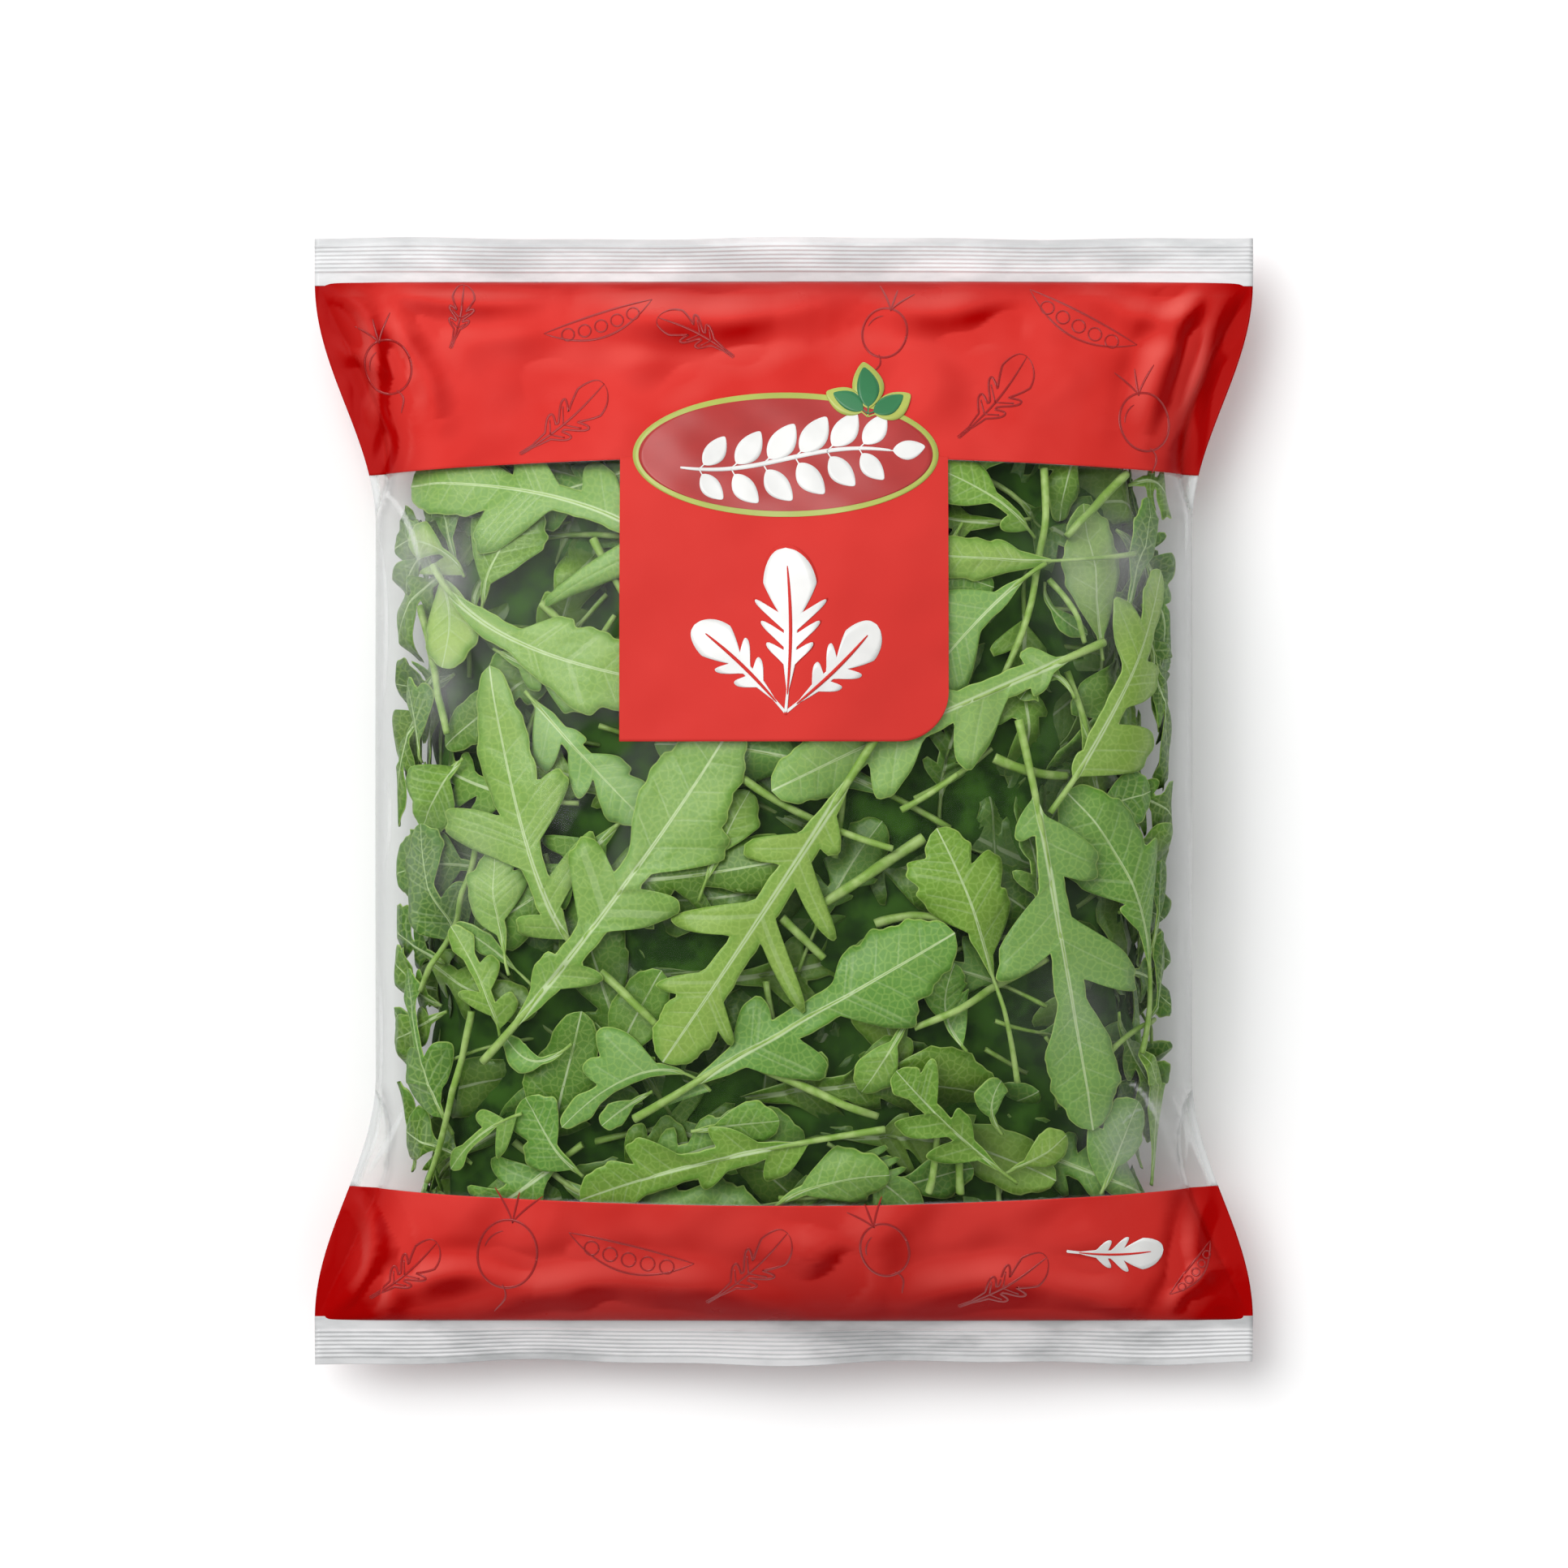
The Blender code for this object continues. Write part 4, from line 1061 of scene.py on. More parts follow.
def addTube(group, plan, depth, radius, tint, sides=8):
    # rings across a path in the shell: p and y by the cosine, depth by the sine, closed by two caps
    side = alongPath(plan)[1]
    angle = np.linspace(0, 2 * np.pi, sides, endpoint=False)
    p, y = (plan[:, None, k] + side[:, None, k] * radius[:, None] * np.cos(angle) for k in (0, 1))
    d = depth[:, None] - radius[:, None] * np.sin(angle)
    points = fromShell(p, y, d).reshape(-1, 3)
    quads = gridQuads(len(plan), sides, closed=True)
    caps = (np.arange(sides)[::-1], np.arange(sides) + (len(plan) - 1) * sides)
    # painted shade by depth
    shade = np.clip((d.ravel() - leafShape["stalkDim"]) / leafShape["stalkDimOver"], 0, 1)
    addShell(group, points, quads, caps, 1, fromVein=9.0, fromRib=9.0, fromEdge=9.0, leafTint=tint,
             leafWarm=0.5, leafDepth=shade)


def twice(values):  # the same for a leaf's upper and lower side
    return np.tile(np.ravel(values), 2)


def finer(grid):  # four times the columns, by straight lines between them, to mark the space as used
    columns = np.arange(grid.shape[1])
    many = np.linspace(0, columns[-1], 4 * len(columns))
    return np.array([np.interp(many, columns, row) for row in grid])


def addLeaf(group, line, spec, fine=True):
    # surface(t, s): midrib(t) + |s| * half width(t) along the slanting vein, at ceiling depth + relief
    rows, columns, ribRows, ribSides = (104, 13, 46, 8) if fine else (42, 9, 22, 6)
    line = [np.asarray(v, float) for v in line]
    coarse = curveThrough(*line, np.linspace(0, 1, 30))
    length = float(np.sum(np.linalg.norm(np.diff(coarse, axis=0), axis=1)))
    dense = np.linspace(0, 1, 500)
    left, right = (leafHalves(dense, spec, length, hand) for hand in (-1, 1))
    steep = [0.6 * (np.gradient(half, dense) / length) ** 2 for half in (left, right)]
    pace = np.sqrt(1 + steep[0] + steep[1])  # rows lie closer where the outline runs out and in
    travel = np.concatenate([[0], np.cumsum((pace[1:] + pace[:-1]) / 2)])
    t = np.interp(np.linspace(0, travel[-1], rows), travel, dense)
    veins = leafVeins(spec)
    if fine:
        for place in veins:
            t[int(np.argmin(np.abs(t[1:-1] - place))) + 1] = place
        t = np.sort(t)
    s = np.linspace(-1, 1, columns)
    s = np.sign(s) * np.abs(s) ** 1.35
    middle = curveThrough(*line, t)
    ahead = np.gradient(curveThrough(*line, dense), axis=0)
    ahead = np.column_stack([np.interp(t, dense, ahead[:, k]) for k in (0, 1)])
    ahead /= np.linalg.norm(ahead, axis=1, keepdims=True)
    side = np.stack([ahead[:, 1], -ahead[:, 0]], axis=-1)
    half = np.where(s[None, :] < 0, leafHalves(t, spec, length, -1)[:, None],
                    leafHalves(t, spec, length, 1)[:, None])
    out = np.abs(s)[None, :] * half
    lean = leanAt(t)[:, None]
    forward = out * np.cos(lean) - leafShape["curlBack"] * out ** 2 * np.sin(lean)
    across = np.sign(s)[None, :] * out * np.sin(lean)
    p, y = (middle[:, None, k] + ahead[:, None, k] * forward + side[:, None, k] * across for k in (0, 1))
    y = np.clip(y, shell["low"] + 0.002, shell["high"] - 0.002)
    # relief in depth: a fold along the midrib, a frill at the margin, a slow tilt and curled ends
    share = np.abs(s)[None, :]
    size = np.clip(half / 0.010, 0.2, 1.4)
    fold = np.abs(spec["fold"]) * size * (share if spec["fold"] > 0 else 1 - share)
    turns = 2 * np.pi * t[:, None] * length / leafShape["frillWave"]
    frill = spec["ruffle"] * size * share ** 1.6 * (
        0.5 + 0.5 * np.sin(turns + spec["phase"] + 1.7 * np.sign(s)[None, :]))
    tilt = spec["tilt"] * (0.5 + 0.5 * np.clip(across / 0.012, -1, 1) * np.sign(spec["phase"] - 3.1))
    curl = spec["curl"] * (2 * t[:, None] - 1) ** 2
    relief = fold + frill + tilt + curl
    relief = relief - relief.min()
    ceiling = smoothCeiling(lowest)
    row, column = shellPlace(p, y)
    over = readTable(ceiling, row, column)
    start = shell["clearance"] + spec["stand"] * readTable(standOff, row, column)
    depth = np.maximum(over + leafShape["gap"], start + spec["sink"]) + relief
    depth = np.minimum(depth, start + leafShape["deepest"] + 0.25 * relief)
    under = depth + leafShape["thick"] * (1 - 0.45 * share ** 2)
    outMm, ribMm = out * 1000, spec["rib"] * (0.95 * (1 - t) ** 1.1 + 0.20)[:, None] * 1000
    fromVein = np.min([np.abs(t - place) for place in veins], axis=0)[:, None] * length * 1000
    fromVein = fromVein * np.sin(lean) + 0 * out
    fromEdge = (half - out) * 1000
    stood = spec["stand"] * readTable(standOff, row, column)
    # painted shade by depth, below the stand-off
    shade = np.clip((depth - stood - leafShape["dim"]) / leafShape["dimOver"], 0, 1)
    points = bothSides(fromShell(p, y, depth), fromShell(p, y, under))
    addShell(group, points, slabQuads(rows, columns), (), 0, fromVein=twice(fromVein),
             fromRib=twice(outMm / ribMm), fromEdge=twice(fromEdge), leafTint=spec["tint"],
             leafWarm=spec["warm"], leafDepth=twice(shade))
    # the midrib and stalk: a tapering tube along s = 0
    tt = np.linspace(0, 0.95, ribRows)
    radius = spec["rib"] * (0.16 + 0.84 * (1 - tt) ** 1.3)
    plan = curveThrough(*line, tt)
    sunk = radius * (0.3 + 0.62 * np.clip((tt - spec["stalk"]) / 0.1, 0, 1))
    ribDepth = np.interp(tt, t, depth[:, columns // 2]) + sunk
    addTube(group, plan, ribDepth, radius, spec["tint"], ribSides)
    pressDown(finer(p), finer(y), finer(under))
    pressDown(plan[:, 0], plan[:, 1], ribDepth + radius)


def addStalk(group, line, radius, tint, sink=0.0, sides=10):
    # a bare stalk: a slightly tapering tube along a curve, on top of what lies there
    line = [np.asarray(v, float) for v in line]
    t = np.linspace(0, 1, 40)
    plan = curveThrough(*line, t)
    row, column = shellPlace(plan[:, 0], plan[:, 1])
    over = readTable(smoothCeiling(lowest), row, column)
    start = shell["clearance"] + 0.6 * readTable(standOff, row, column)
    r = radius * (1 - 0.18 * t) * (1 + 0.04 * np.sin(17 * t))
    depth = np.minimum(np.maximum(over + leafShape["gap"], start + sink), start + leafShape["deepest"]) + r
    addTube(group, plan, depth, r, tint, sides)
    pressDown(plan[:, 0], plan[:, 1], depth + r)
    for shift in (-0.7, 0.7):
        pressDown(plan[:, 0] + shift * radius, plan[:, 1], depth + 0.7 * r)


def finishGroup(name, group):  # one mesh for the whole group, of two materials: blades and stalks
    points = np.concatenate(group["points"])
    quads = np.concatenate(group["quads"])
    slots = np.concatenate(group["slots"] + [np.asarray(group["capSlots"], int)])
    values = {title: np.concatenate(group[title]) for title in leafTitles}
    piece = makePiece(name, points, quads, [bladeGreen, stalkGreen], group["caps"], slots, values)
    print(name, len(group["points"]), "shells,", 2 * len(quads), "triangles")
    return piece


# The leaves that press against the front film, topmost first: base, middle and tip of the midrib in
# photograph pixels, stalk share, start of the end lobe, its half width in mm, tint 0 dark to 1 light, sink
# in mm, and the tips of the side lobes in pixels, some with the lobe's half width in mm
frontLeaves = (
    ((590, 1311), (742, 1125), (905, 885), 0.12, 0.6, 12.5, 0.72, 0.0,
     ((662, 1183, 5.2), (712, 1030, 6.4), (735, 1207, 3.6), (833, 1122, 5.6), (898, 1043, 6.2))),
    ((835, 690), (690, 612), (485, 594), 0.08, 0.62, 9.0, 0.7, 0.0,
     ((580, 676), (656, 726), (640, 548), (730, 560))),
    ((526, 694), (640, 792), (880, 850), 0.14, 0.42, 10.5, 0.74, 0.0, ((700, 762), (720, 872))),
    ((1084, 905), (938, 1130), (815, 1312), 0.1, 0.7, 8.5, 0.66, 0.0,
     ((912, 1049, 3.6), (825, 1139, 4.2), (805, 1216, 3.4), (1033, 1055, 3.2), (1022, 1167, 2.8),
      (985, 1263, 2.8), (903, 1300, 2.4))),
    ((1258, 886), (1308, 1135), (1351, 1396), 0.2, 0.66, 11.0, 0.64, 0.0,
     ((1362, 1072), (1412, 1216), (1256, 1030), (1235, 1207))),
    ((1366, 790), (1180, 870), (950, 975), 0.12, 0.72, 9.0, 0.78, 0.0,
     ((1262, 800), (1150, 850), (1282, 856), (1194, 944), (1095, 983))),
    ((702, 1172), (648, 1050), (596, 818), 0.06, 0.52, 8.3, 0.66, 0.0,
     ((534, 1001, 5.4), (629, 1141, 4.8), (697, 948, 4.8), (726, 1022, 4.4))),
    ((1092, 1396), (900, 1430), (712, 1484), 0.28, 0.74, 8.0, 0.62, 0.0,
     ((881, 1393), (774, 1408), (870, 1468), (950, 1462))),
    ((779, 1383), (975, 1268), (1178, 1150), 0.18, 0.6, 11.5, 0.6, 0.0,
     ((934, 1232), (1047, 1170, 3.2), (1016, 1325), (1129, 1262))),
    ((1302, 1002), (1390, 850), (1452, 700), 0.12, 0.72, 7.0, 0.62, 0.3,
     ((1386, 736), (1330, 932), (1392, 812), (1450, 836), (1438, 920))),
    ((1258, 1338), (1222, 1180), (1155, 1020), 0.4, 0.78, 6.5, 0.58, 0.3,
     ((1251, 1103), (1237, 1051), (1133, 1108), (1114, 1072))),
    ((640, 850), (715, 930), (792, 1012), 0.05, 0.6, 7.0, 0.84, 0.3,
     ((716, 905), (772, 940), (662, 945), (708, 978))),
    ((1292, 692), (1210, 760), (1108, 885), 0.18, 0.5, 10.0, 0.68, 0.3, ((1190, 840), (1150, 740))),
    ((1256, 1462), (1175, 1395), (1105, 1322), 0.12, 0.76, 5.0, 0.56, 0.0,
     ((1152, 1306, 3.2), (1190, 1372, 3.4), (1105, 1398, 3.4), (1147, 1432, 3.2))),
    ((1419, 1301), (1424, 1150), (1325, 975), 0.35, 0.6, 12.0, 0.52, 0.6,
     ((1391, 1126), (1330, 1080), (1447, 1045))),
    ((1406, 680), (1290, 688), (1120, 680), 0.45, 0.58, 6.0, 0.7, 0.3, ((1235, 665),)),
    ((528, 696), (545, 760), (540, 822), 0.04, 0.1, 8.5, 0.92, 0.2, ()),
    ((622, 1204), (606, 1120), (600, 1050), 0.15, 0.58, 6.5, 0.8, 0.6,
     ((570, 1085), (572, 1112), (640, 1078))),
    ((608, 1282), (590, 1215), (548, 1142), 0.1, 0.7, 3.6, 0.66, 0.0,
     ((558, 1226, 3.0), (629, 1231, 3.0), (603, 1183, 3.0))),
    ((657, 1228), (605, 1180), (550, 1140), 0.3, 0.4, 3.0, 0.62, 0.3, ()),
    ((583, 748), (606, 680), (650, 600), 0.05, 0.22, 12.0, 0.46, 0.6, ()),
    ((598, 796), (665, 830), (738, 862), 0.05, 0.45, 7.0, 0.72, 0.3, ((650, 850), (690, 815))),
    ((1125, 1255), (1095, 1300), (1062, 1352), 0.1, 0.35, 6.2, 0.56, 0.6, ()),
    ((858, 1112), (885, 1045), (920, 975), 0.2, 0.45, 7.5, 0.54, 0.9, ()),
    ((875, 1350), (790, 1325), (690, 1392), 0.2, 0.75, 3.6, 0.7, 0.3,
     ((735, 1275, 3.6), (718, 1310, 3.0), (800, 1370, 3.0))),
    ((640, 1376), (590, 1400), (545, 1446), 0.25, 0.7, 3.0, 0.62, 0.0,
     ((612, 1430, 2.6), (585, 1376, 2.4))),
    ((714, 1458), (675, 1410), (643, 1358), 0.05, 0.4, 8.0, 0.58, 0.3, ((640, 1430),)),
    ((1360, 1475), (1385, 1418), (1412, 1362), 0.05, 0.3, 9.0, 0.55, 0.6, ((1350, 1400),)),
    ((1436, 1462), (1445, 1380), (1426, 1300), 0.05, 0.2, 5.6, 0.42, 0.6, ()),
    ((1400, 762), (1420, 680), (1432, 606), 0.05, 0.25, 6.5, 0.2, 0.9, ()),
    ((1372, 812), (1362, 720), (1345, 612), 0.08, 0.16, 9.2, 0.74, 0.6, ()),
    ((955, 1492), (1020, 1462), (1098, 1452), 0.02, 0.25, 8.0, 0.58, 0.3, ()),
    ((1285, 656), (1225, 610), (1150, 572), 0.1, 0.45, 8.0, 0.62, 0.3, ((1240, 645),)),
    ((1240, 1454), (1280, 1430), (1320, 1404), 0.1, 0.3, 5.0, 0.76, 0.3, ()),
    ((560, 1190), (520, 1100), (505, 1015), 0.06, 0.5, 8.0, 0.2, 0.9,
     ((472, 1075), (480, 1118), (556, 1090))),
    ((545, 1405), (500, 1290), (478, 1196), 0.06, 0.66, 5.5, 0.18, 0.9,
     ((472, 1310), (480, 1345), (540, 1290), (530, 1340))),
    ((562, 934), (535, 970), (498, 1022), 0.05, 0.3, 9.5, 0.56, 0.6, ((480, 960),)),
    ((560, 706), (528, 672), (482, 662), 0.05, 0.4, 5.2, 0.8, 0.3, ((518, 648, 3.0), (500, 700, 3.0))),
    ((545, 700), (538, 640), (532, 592), 0.05, 0.3, 5.5, 0.22, 1.2, ()),
    ((500, 940), (492, 880), (474, 838), 0.05, 0.4, 4.6, 0.14, 1.2, ((515, 850),)),
    ((508, 690), (490, 655), (470, 642), 0.05, 0.3, 3.6, 0.18, 1.0, ()),
    ((1345, 1010), (1385, 990), (1440, 975), 0.05, 0.35, 8.0, 0.34, 1.5, ()),
    ((1436, 1180), (1458, 1110), (1462, 1060), 0.05, 0.35, 6.0, 0.14, 1.5, ()),
    ((1448, 1290), (1456, 1210), (1466, 1150), 0.1, 0.35, 5.2, 0.12, 1.5, ()),
    ((1240, 1405), (1225, 1370), (1240, 1338), 0.05, 0.3, 5.2, 0.6, 0.3, ()),
    ((1300, 710), (1310, 750), (1356, 778), 0.1, 0.4, 3.2, 0.58, 0.3, ()),
    ((700, 1290), (655, 1310), (612, 1284), 0.1, 0.35, 3.8, 0.6, 0.6, ()),
    ((850, 1400), (905, 1392), (960, 1384), 0.05, 0.25, 6.5, 0.56, 0.9, ()),
    ((800, 1353), (765, 1372), (738, 1392), 0.05, 0.3, 3.6, 0.58, 0.6, ()),
    ((1195, 1300), (1170, 1250), (1180, 1190), 0.1, 0.35, 7.0, 0.48, 1.2, ((1200, 1230),)),
    ((1330, 860), (1300, 830), (1262, 860), 0.05, 0.3, 6.0, 0.5, 1.0, ()),
    ((1190, 640), (1180, 690), (1230, 720), 0.05, 0.3, 7.0, 0.44, 1.5, ()),
)

# bare stalks: three points in pixels, radius in mm, sink in mm
frontStalks = (
    ((502, 744), (524, 822), (544, 904), 1.35, 0.0), ((1290, 574), (1284, 700), (1242, 828), 1.25, 0.2),
    ((1396, 580), (1362, 612), (1322, 656), 1.5, 0.0), ((572, 1044), (546, 1140), (504, 1223), 1.1, 0.0),
    ((570, 1250), (552, 1350), (516, 1460), 1.2, 0.3), ((912, 959), (1000, 1010), (1101, 1046), 1.25, 0.3),
    ((1140, 1032), (1080, 1072), (1016, 1117), 1.75, 0.0),
    ((1078, 1141), (1130, 1130), (1182, 1140), 1.5, 0.3), ((1112, 998), (1146, 978), (1182, 953), 1.0, 0.3),
    ((934, 1320), (1010, 1352), (1084, 1384), 1.4, 0.3), ((965, 1134), (990, 1158), (1016, 1184), 1.4, 0.6),
    ((1230, 932), (1278, 950), (1328, 956), 1.6, 0.9), ((733, 1202), (768, 1230), (805, 1266), 1.4, 0.6),
    ((726, 660), (745, 695), (772, 740), 1.4, 0.6), ((1302, 708), (1325, 745), (1346, 790), 1.0, 0.6),
    ((1130, 984), (1180, 955), (1228, 920), 0.95, 0.3),
    ((1299, 1183), (1215, 1232), (1128, 1271), 1.3, 0.0),
    ((1377, 1301), (1412, 1276), (1450, 1259), 0.9, 0.3),
    ((1147, 1476), (1156, 1440), (1160, 1406), 1.2, 0.9),
    ((1187, 1478), (1188, 1440), (1190, 1400), 1.3, 0.9), ((660, 740), (690, 770), (712, 800), 1.3, 0.6),
    ((702, 806), (728, 790), (754, 756), 1.1, 0.9),
)


def inShell(px, py):  # a pixel's place in the shell's tables
    x, y = (float(v) for v in onFront(px, py))
    return np.array([aroundBag(x, y), y])


def leafSpec(random, length, **given):  # one leaf's own draws, and what is given for it
    spec = dict(warm=random.uniform(0, 1), stalk=0.15, endStart=0.6, endHalf=0.009, lobes=(), tint=0.5,
                sink=0.0, stand=1.0, wing=min(0.0044, 0.050 * length), frill=0.050,
                phase=random.uniform(0, 6.28),
                fold=random.uniform(-0.0010, 0.0014), ruffle=random.uniform(0.0004, 0.0012),
                tilt=random.uniform(0, 0.0012), curl=random.uniform(0, 0.0010),
                rib=float(np.clip(0.0125 * length, 0.0005, 0.00125)))
    spec.update(given)
    return spec


# after how many leaves the shapes grow plainer, the stalks are laid and the second piece begins
front = dict(seed=11, broad=16, stalksAfter=21, upper=26, stand=0.4, stalkScale=0.00088, stalkTint=0.6)
leafRandom = np.random.default_rng(front["seed"])
heroes = [newGroup(), newGroup()]
for k, (*midrib, stalk, endStart, endHalf, tint, sink, tips) in enumerate(frontLeaves):
    line = [inShell(*point) for point in midrib]
    length = float(np.linalg.norm(line[2] - line[0]))
    lobes = [lobeFromTip(line, inShell(px, py), length, *half) for px, py, *half in tips]
    spec = leafSpec(leafRandom, length, stalk=stalk, endStart=endStart, endHalf=endHalf / 1000, lobes=lobes,
                    tint=tint + leafRandom.uniform(-0.10, 0.06), sink=sink / 1000, stand=front["stand"])
    if k < front["broad"]:
        spec.update(curl=0.0004, tilt=leafRandom.uniform(0.0006, 0.0018),
                    ruffle=leafRandom.uniform(0.0007, 0.0016))
    addLeaf(heroes[0 if k < front["upper"] else 1], line, spec)
    if k + 1 == front["stalksAfter"]:
        for *ends, radius, sinkMm in frontStalks:
            addStalk(heroes[0], [inShell(*end) for end in ends], radius * front["stalkScale"],
                     front["stalkTint"], sinkMm / 1000)
finishGroup("front_leaves_upper", heroes[0])
finishGroup("front_leaves_lower", heroes[1])

# Lobed leaves that reach out towards the film at both sides, dark by painted shade
rims = dict(seed=23, each=15, low=-0.089, high=0.077, stop=(-0.098, 0.085))
rimRandom = np.random.default_rng(rims["seed"])
rimGroup = newGroup()
for hand in (-1, 1):
    for y in np.linspace(rims["low"], rims["high"], rims["each"]):
        y = float(y + rimRandom.uniform(-0.003, 0.003))
        rim = aroundBag(hand * float(halfWidth(y) - earWidth(y)) * 0.999, y)
        turn = rimRandom.uniform(-1.1, 1.1)
        length = rimRandom.uniform(0.028, 0.046)
        tip = np.array([rim + hand * rimRandom.uniform(-0.002, 0.005), y])
        start = tip - np.array([hand * math.cos(turn), math.sin(turn)]) * length
        middle = (tip + start) / 2 + np.array([0, rimRandom.uniform(-0.003, 0.003)])
        lobes = [(place, side, rimRandom.uniform(0.16, 0.30) * length, rimRandom.uniform(0.06, 0.10))
                 for place in (0.30, 0.52) for side in (-1, 1)]
        spec = leafSpec(rimRandom, length, stalk=0.02, endStart=0.42,
                        endHalf=rimRandom.uniform(0.18, 0.28) * length, lobes=lobes,
                        tint=rimRandom.uniform(0.04, 0.26), sink=rimRandom.uniform(0, 0.0015), stand=0.30,
                        ruffle=rimRandom.uniform(0.0010, 0.0024), frill=0.07)
        for end in (start, middle, tip):
            end[1] = np.clip(end[1], *rims["stop"])
        addLeaf(rimGroup, [start, middle, tip], spec, fine=False)
finishGroup("rim_leaves", rimGroup)

# The leaves beneath and round the sides and the back, strewn by seeded draws
strewn = (  # name, how many, from and to as shares of the way round, y range in mm, sink in mm, tints, darker in the deep and side layers as painted shade
    ("leaves_along_the_foot", 20, -0.40, 0.40, -111, -92, 1.4, (0.34, 0.66)),
    ("leaves_along_the_head", 12, -0.46, 0.46, 76, 92, 1.6, (0.30, 0.60)),
    ("under_leaves_front", 82, -0.58, 0.58, -106, 92, 2.6, (0.30, 0.62)),
    ("deep_leaves_front", 50, -0.56, 0.56, -106, 92, 5.2, (0.20, 0.48)),
    ("side_leaves_right", 36, 0.50, 0.90, -100, 86, 0.4, (0.06, 0.35)),
    ("side_leaves_left", 36, -0.90, -0.50, -100, 86, 0.4, (0.06, 0.35)),
    ("back_leaves_right", 40, 0.72, 1.10, -104, 90, 0.2, (0.30, 0.80)),
    ("back_leaves_left", 40, -1.10, -0.72, -104, 90, 0.2, (0.30, 0.80)),
)


def keepWithin(ends, yLow, yHigh):
    for end in ends:
        end[1] = np.clip(end[1], yLow / 1000, yHigh / 1000)


def strewLeaf(random, group, low, high, yLow, yHigh, sink, tints):  # turned any way, anywhere in the range
    y = random.uniform(yLow, yHigh) / 1000
    p = random.uniform(low, high) * float(np.interp(y, shellY, halfRound))
    length = random.uniform(0.045, 0.085)
    turn = random.uniform(0, 2 * np.pi)
    ahead = np.array([math.cos(turn), math.sin(turn)])
    side = np.array([ahead[1], -ahead[0]])
    centre = np.array([p, y])
    bow = random.uniform(-0.10, 0.10) * length
    ends = [centre - ahead * length / 2, centre + side * bow, centre + ahead * length / 2]
    keepWithin(ends, yLow, yHigh)
    lobes = []
    pairs = random.integers(1, 4)
    for pair in range(pairs):
        place = 0.26 + 0.34 * (pair + 0.5) / pairs
        for hand in (-1, 1):
            reach = random.uniform(0.12, 0.22) * length
            lobes.append((place + random.uniform(-0.02, 0.02), hand, reach, 0.10 / pairs + 0.008))
    spec = leafSpec(random, length, stalk=random.uniform(0.1, 0.25), endStart=random.uniform(0.48, 0.62),
                    endHalf=random.uniform(0.10, 0.16) * length, lobes=lobes,
                    tint=random.uniform(*tints), sink=sink / 1000, fold=random.uniform(-0.002, 0.002),
                    ruffle=random.uniform(0.0006, 0.0020), tilt=random.uniform(0, 0.0025),
                    curl=random.uniform(0, 0.002))
    addLeaf(group, ends, spec, fine=False)


def strewStalk(random, group, low, high, yLow, yHigh, sink):
    y = random.uniform(yLow, yHigh) / 1000
    centre = np.array([random.uniform(low, high) * float(np.interp(y, shellY, halfRound)), y])
    turn, long = random.uniform(0, 2 * np.pi), random.uniform(0.012, 0.030)
    reach = np.array([math.cos(turn), math.sin(turn)]) * long
    middle = centre + np.array([reach[1], -reach[0]]) * random.uniform(-0.2, 0.2)
    ends = [centre - reach, middle, centre + reach]
    keepWithin(ends, yLow, yHigh)
    addStalk(group, ends, random.uniform(0.0005, 0.0009), 0.5, sink / 1000, 6)


for name, count, *where, tints in strewn:
    group = newGroup()
    for k in range(count):
        strewLeaf(leafRandom, group, *where, tints)
    for k in range(count // 9):
        strewStalk(leafRandom, group, *where)
    finishGroup(name, group)

# The inside of the pile, in dark green as painted shade: each ring is the bag's own section drawn in towards
# its middle, so that it stays within the film, and a little lumpy by the product of two waves
core = dict(rows=80, low=-0.112, high=0.102, depth=0.0105, side=0.015, lumps=0.05, least=0.2)
coreY = np.linspace(core["low"], core["high"], core["rows"])
coreRows = shellRow(coreY).astype(int)
coreShell = shellPoints[coreRows][:, :-1:3]
coreMiddle = np.array([0, 0, 1]) * (coreShell[..., 2].max(1) + coreShell[..., 2].min(1))[:, None, None] / 2
coreMiddle = coreMiddle + np.array([0, 1, 0]) * coreShell[:, :1, 1:2]
fromMiddle = coreShell - coreMiddle
tall = np.abs(fromMiddle[..., 2]).max(1)[:, None]
wide = np.abs(fromMiddle[..., 0]).max(1)[:, None]
turnRound = np.linspace(-np.pi, np.pi, coreShell.shape[1], endpoint=False)[None, :]
waves = np.sin(19 * turnRound + 90 * coreY[:, None]) * np.sin(7 * turnRound - 150 * coreY[:, None])
lumps = 1 - core["lumps"] * (0.5 + 0.5 * waves)
drawIn = np.stack([(1 - core["side"] / wide) * lumps, np.ones(lumps.shape),
                   np.maximum(1 - core["depth"] / tall, core["least"]) * lumps], axis=-1)
corePoints = (coreMiddle + fromMiddle * drawIn).reshape(-1, 3)
coreColumns = coreShell.shape[1]
coreCaps = (np.arange(coreColumns)[::-1], np.arange(coreColumns) + (core["rows"] - 1) * coreColumns)
corePiece = makePiece("pile_inside", corePoints, gridQuads(core["rows"], coreColumns, closed=True),
                      insideShade, coreCaps)
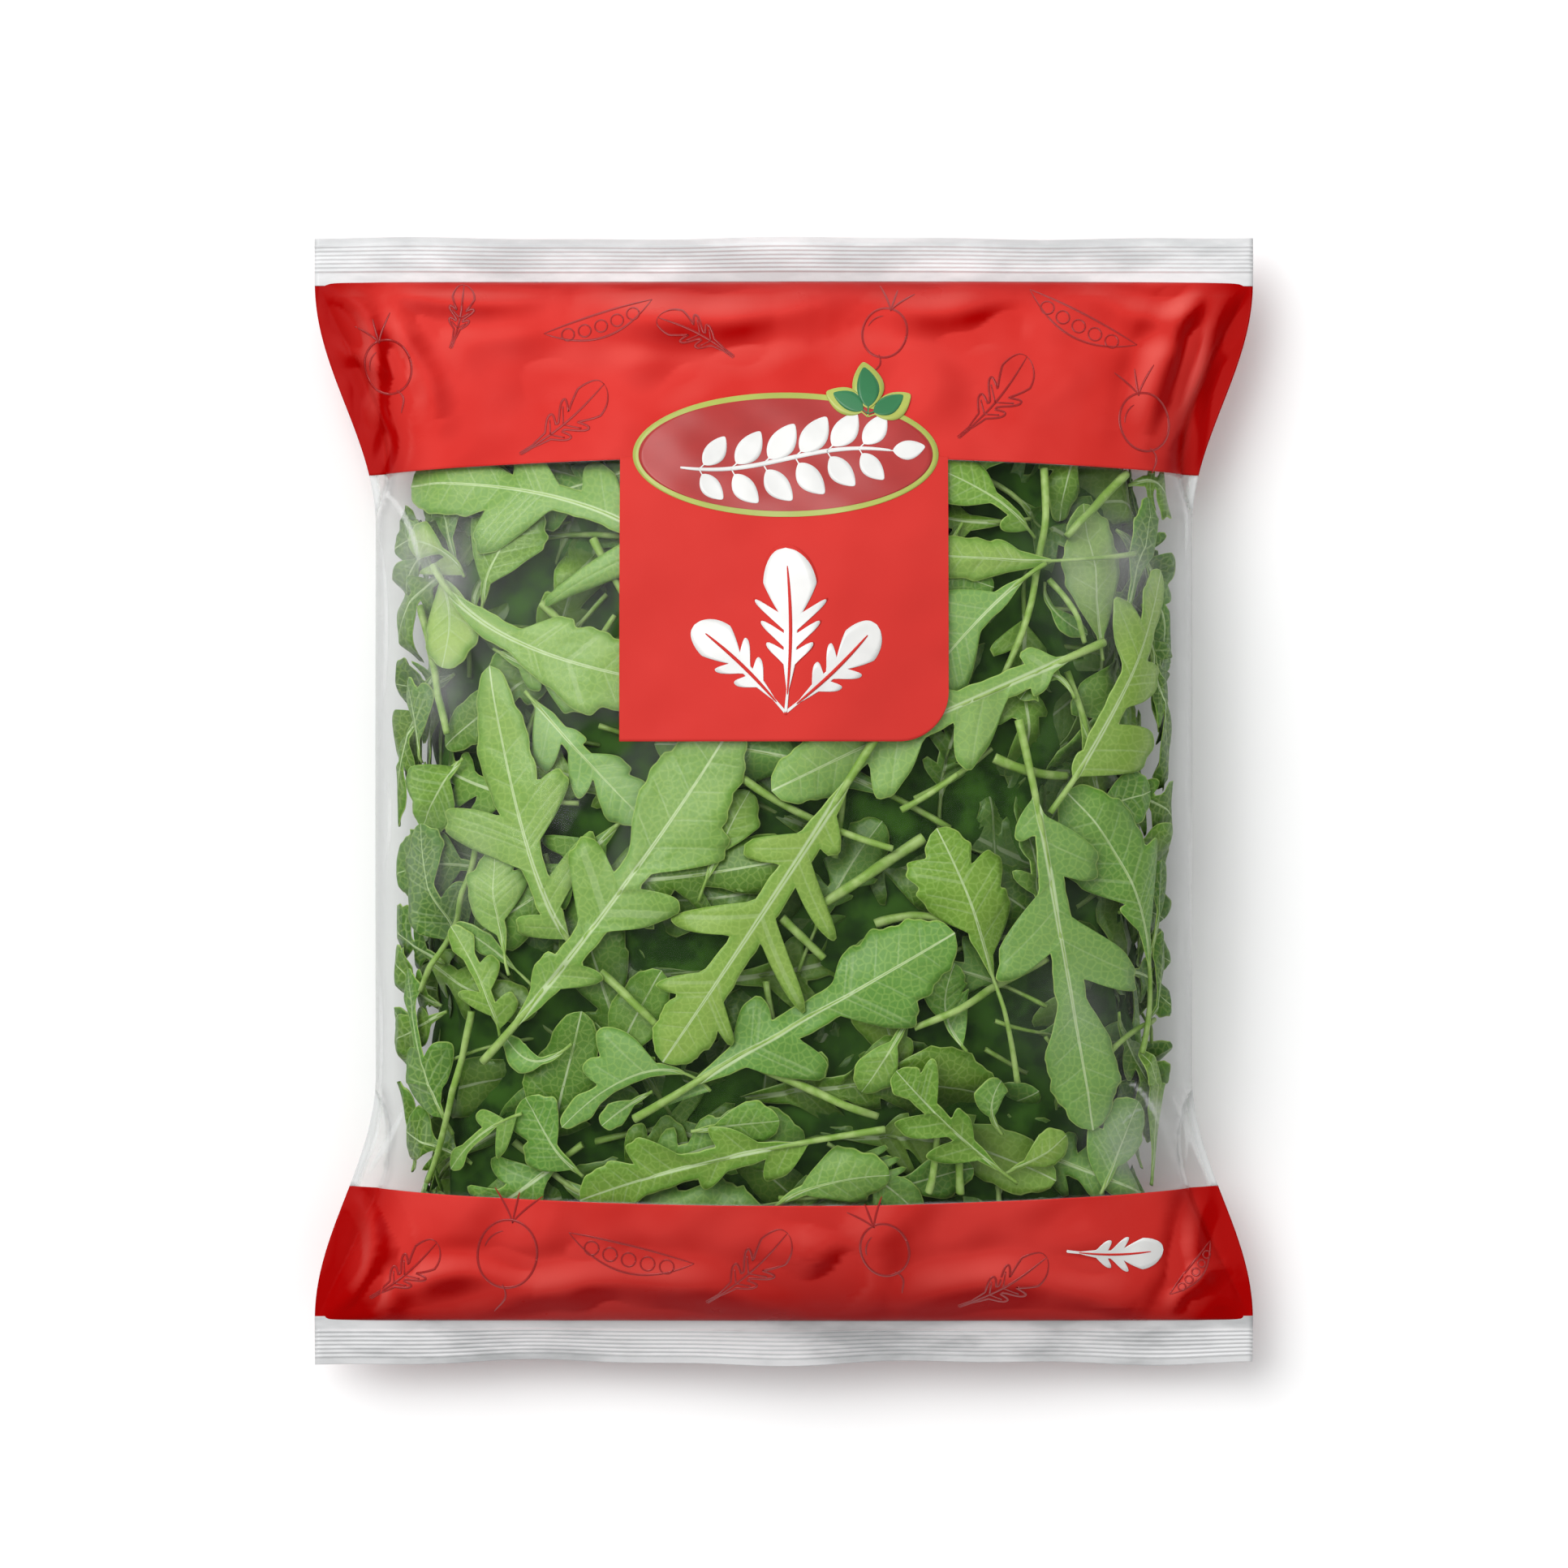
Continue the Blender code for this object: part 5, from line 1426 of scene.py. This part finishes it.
print("pile made")

# Floor, light and camera
bpy.ops.mesh.primitive_plane_add(size=6)
floor = bpy.context.object
floor.name = "floor"
floorWhite, tree, shader = newMaterial("floor_white")
shader.inputs["Base Color"].default_value = (0.97, 0.97, 0.97, 1)
setGloss(shader, 0.9, 0.1)
shader.inputs["Emission Color"].default_value = (1, 1, 1, 1)
shader.inputs["Emission Strength"].default_value = 0.05  # a light table, which keeps the shadows pale
floor.data.materials.append(floorWhite)

# a big soft window to the upper left, a weak fill and a sky that is brightest overhead
light = dict(zenith=0.66, horizon=0.18, key=((-1.80, 1.80, 3.40), 3.6, 158.0),
             fill=((1.1, 0.2, 1.0), 0.8, 1.5))


def areaLight(name, place, size, power, aim=(0, 0, 0.03)):
    data = bpy.data.lights.new(name, "AREA")
    data.size = size
    data.energy = power
    lamp = bpy.data.objects.new(name, data)
    lamp.location = place
    lamp.rotation_euler = (Vector(aim) - Vector(place)).to_track_quat("-Z", "Y").to_euler()
    bpy.context.scene.collection.objects.link(lamp)


areaLight("key", *light["key"])
areaLight("fill", *light["fill"])
world = bpy.data.worlds.new("studio")
world.use_nodes = True
tree = world.node_tree
direction = tree.nodes.new("ShaderNodeTexCoord")
upwards = tree.nodes.new("ShaderNodeSeparateXYZ")
tree.links.new(direction.outputs["Generated"], upwards.inputs[0])
brightness = mapRange(tree, upwards.outputs["Z"], 0.0, 1.0, light["horizon"], light["zenith"], False)
tree.links.new(brightness, tree.nodes["Background"].inputs["Strength"])
tree.nodes["Background"].inputs["Color"].default_value = (1, 1, 1, 1)
bpy.context.scene.world = world
bpy.context.scene.view_settings.view_transform = "Standard"
bpy.context.scene.view_settings.look = "None"

cameraData = bpy.data.cameras.new("camera")
cameraData.lens = photo["lens"]
cameraData.sensor_width = photo["sensor"]
cameraData.clip_end = 20
camera = bpy.data.objects.new("camera", cameraData)
camera.location = (0, photo["aimY"], cameraHeight)
bpy.context.scene.collection.objects.link(camera)
bpy.context.scene.camera = camera
print("floor, light and camera set")
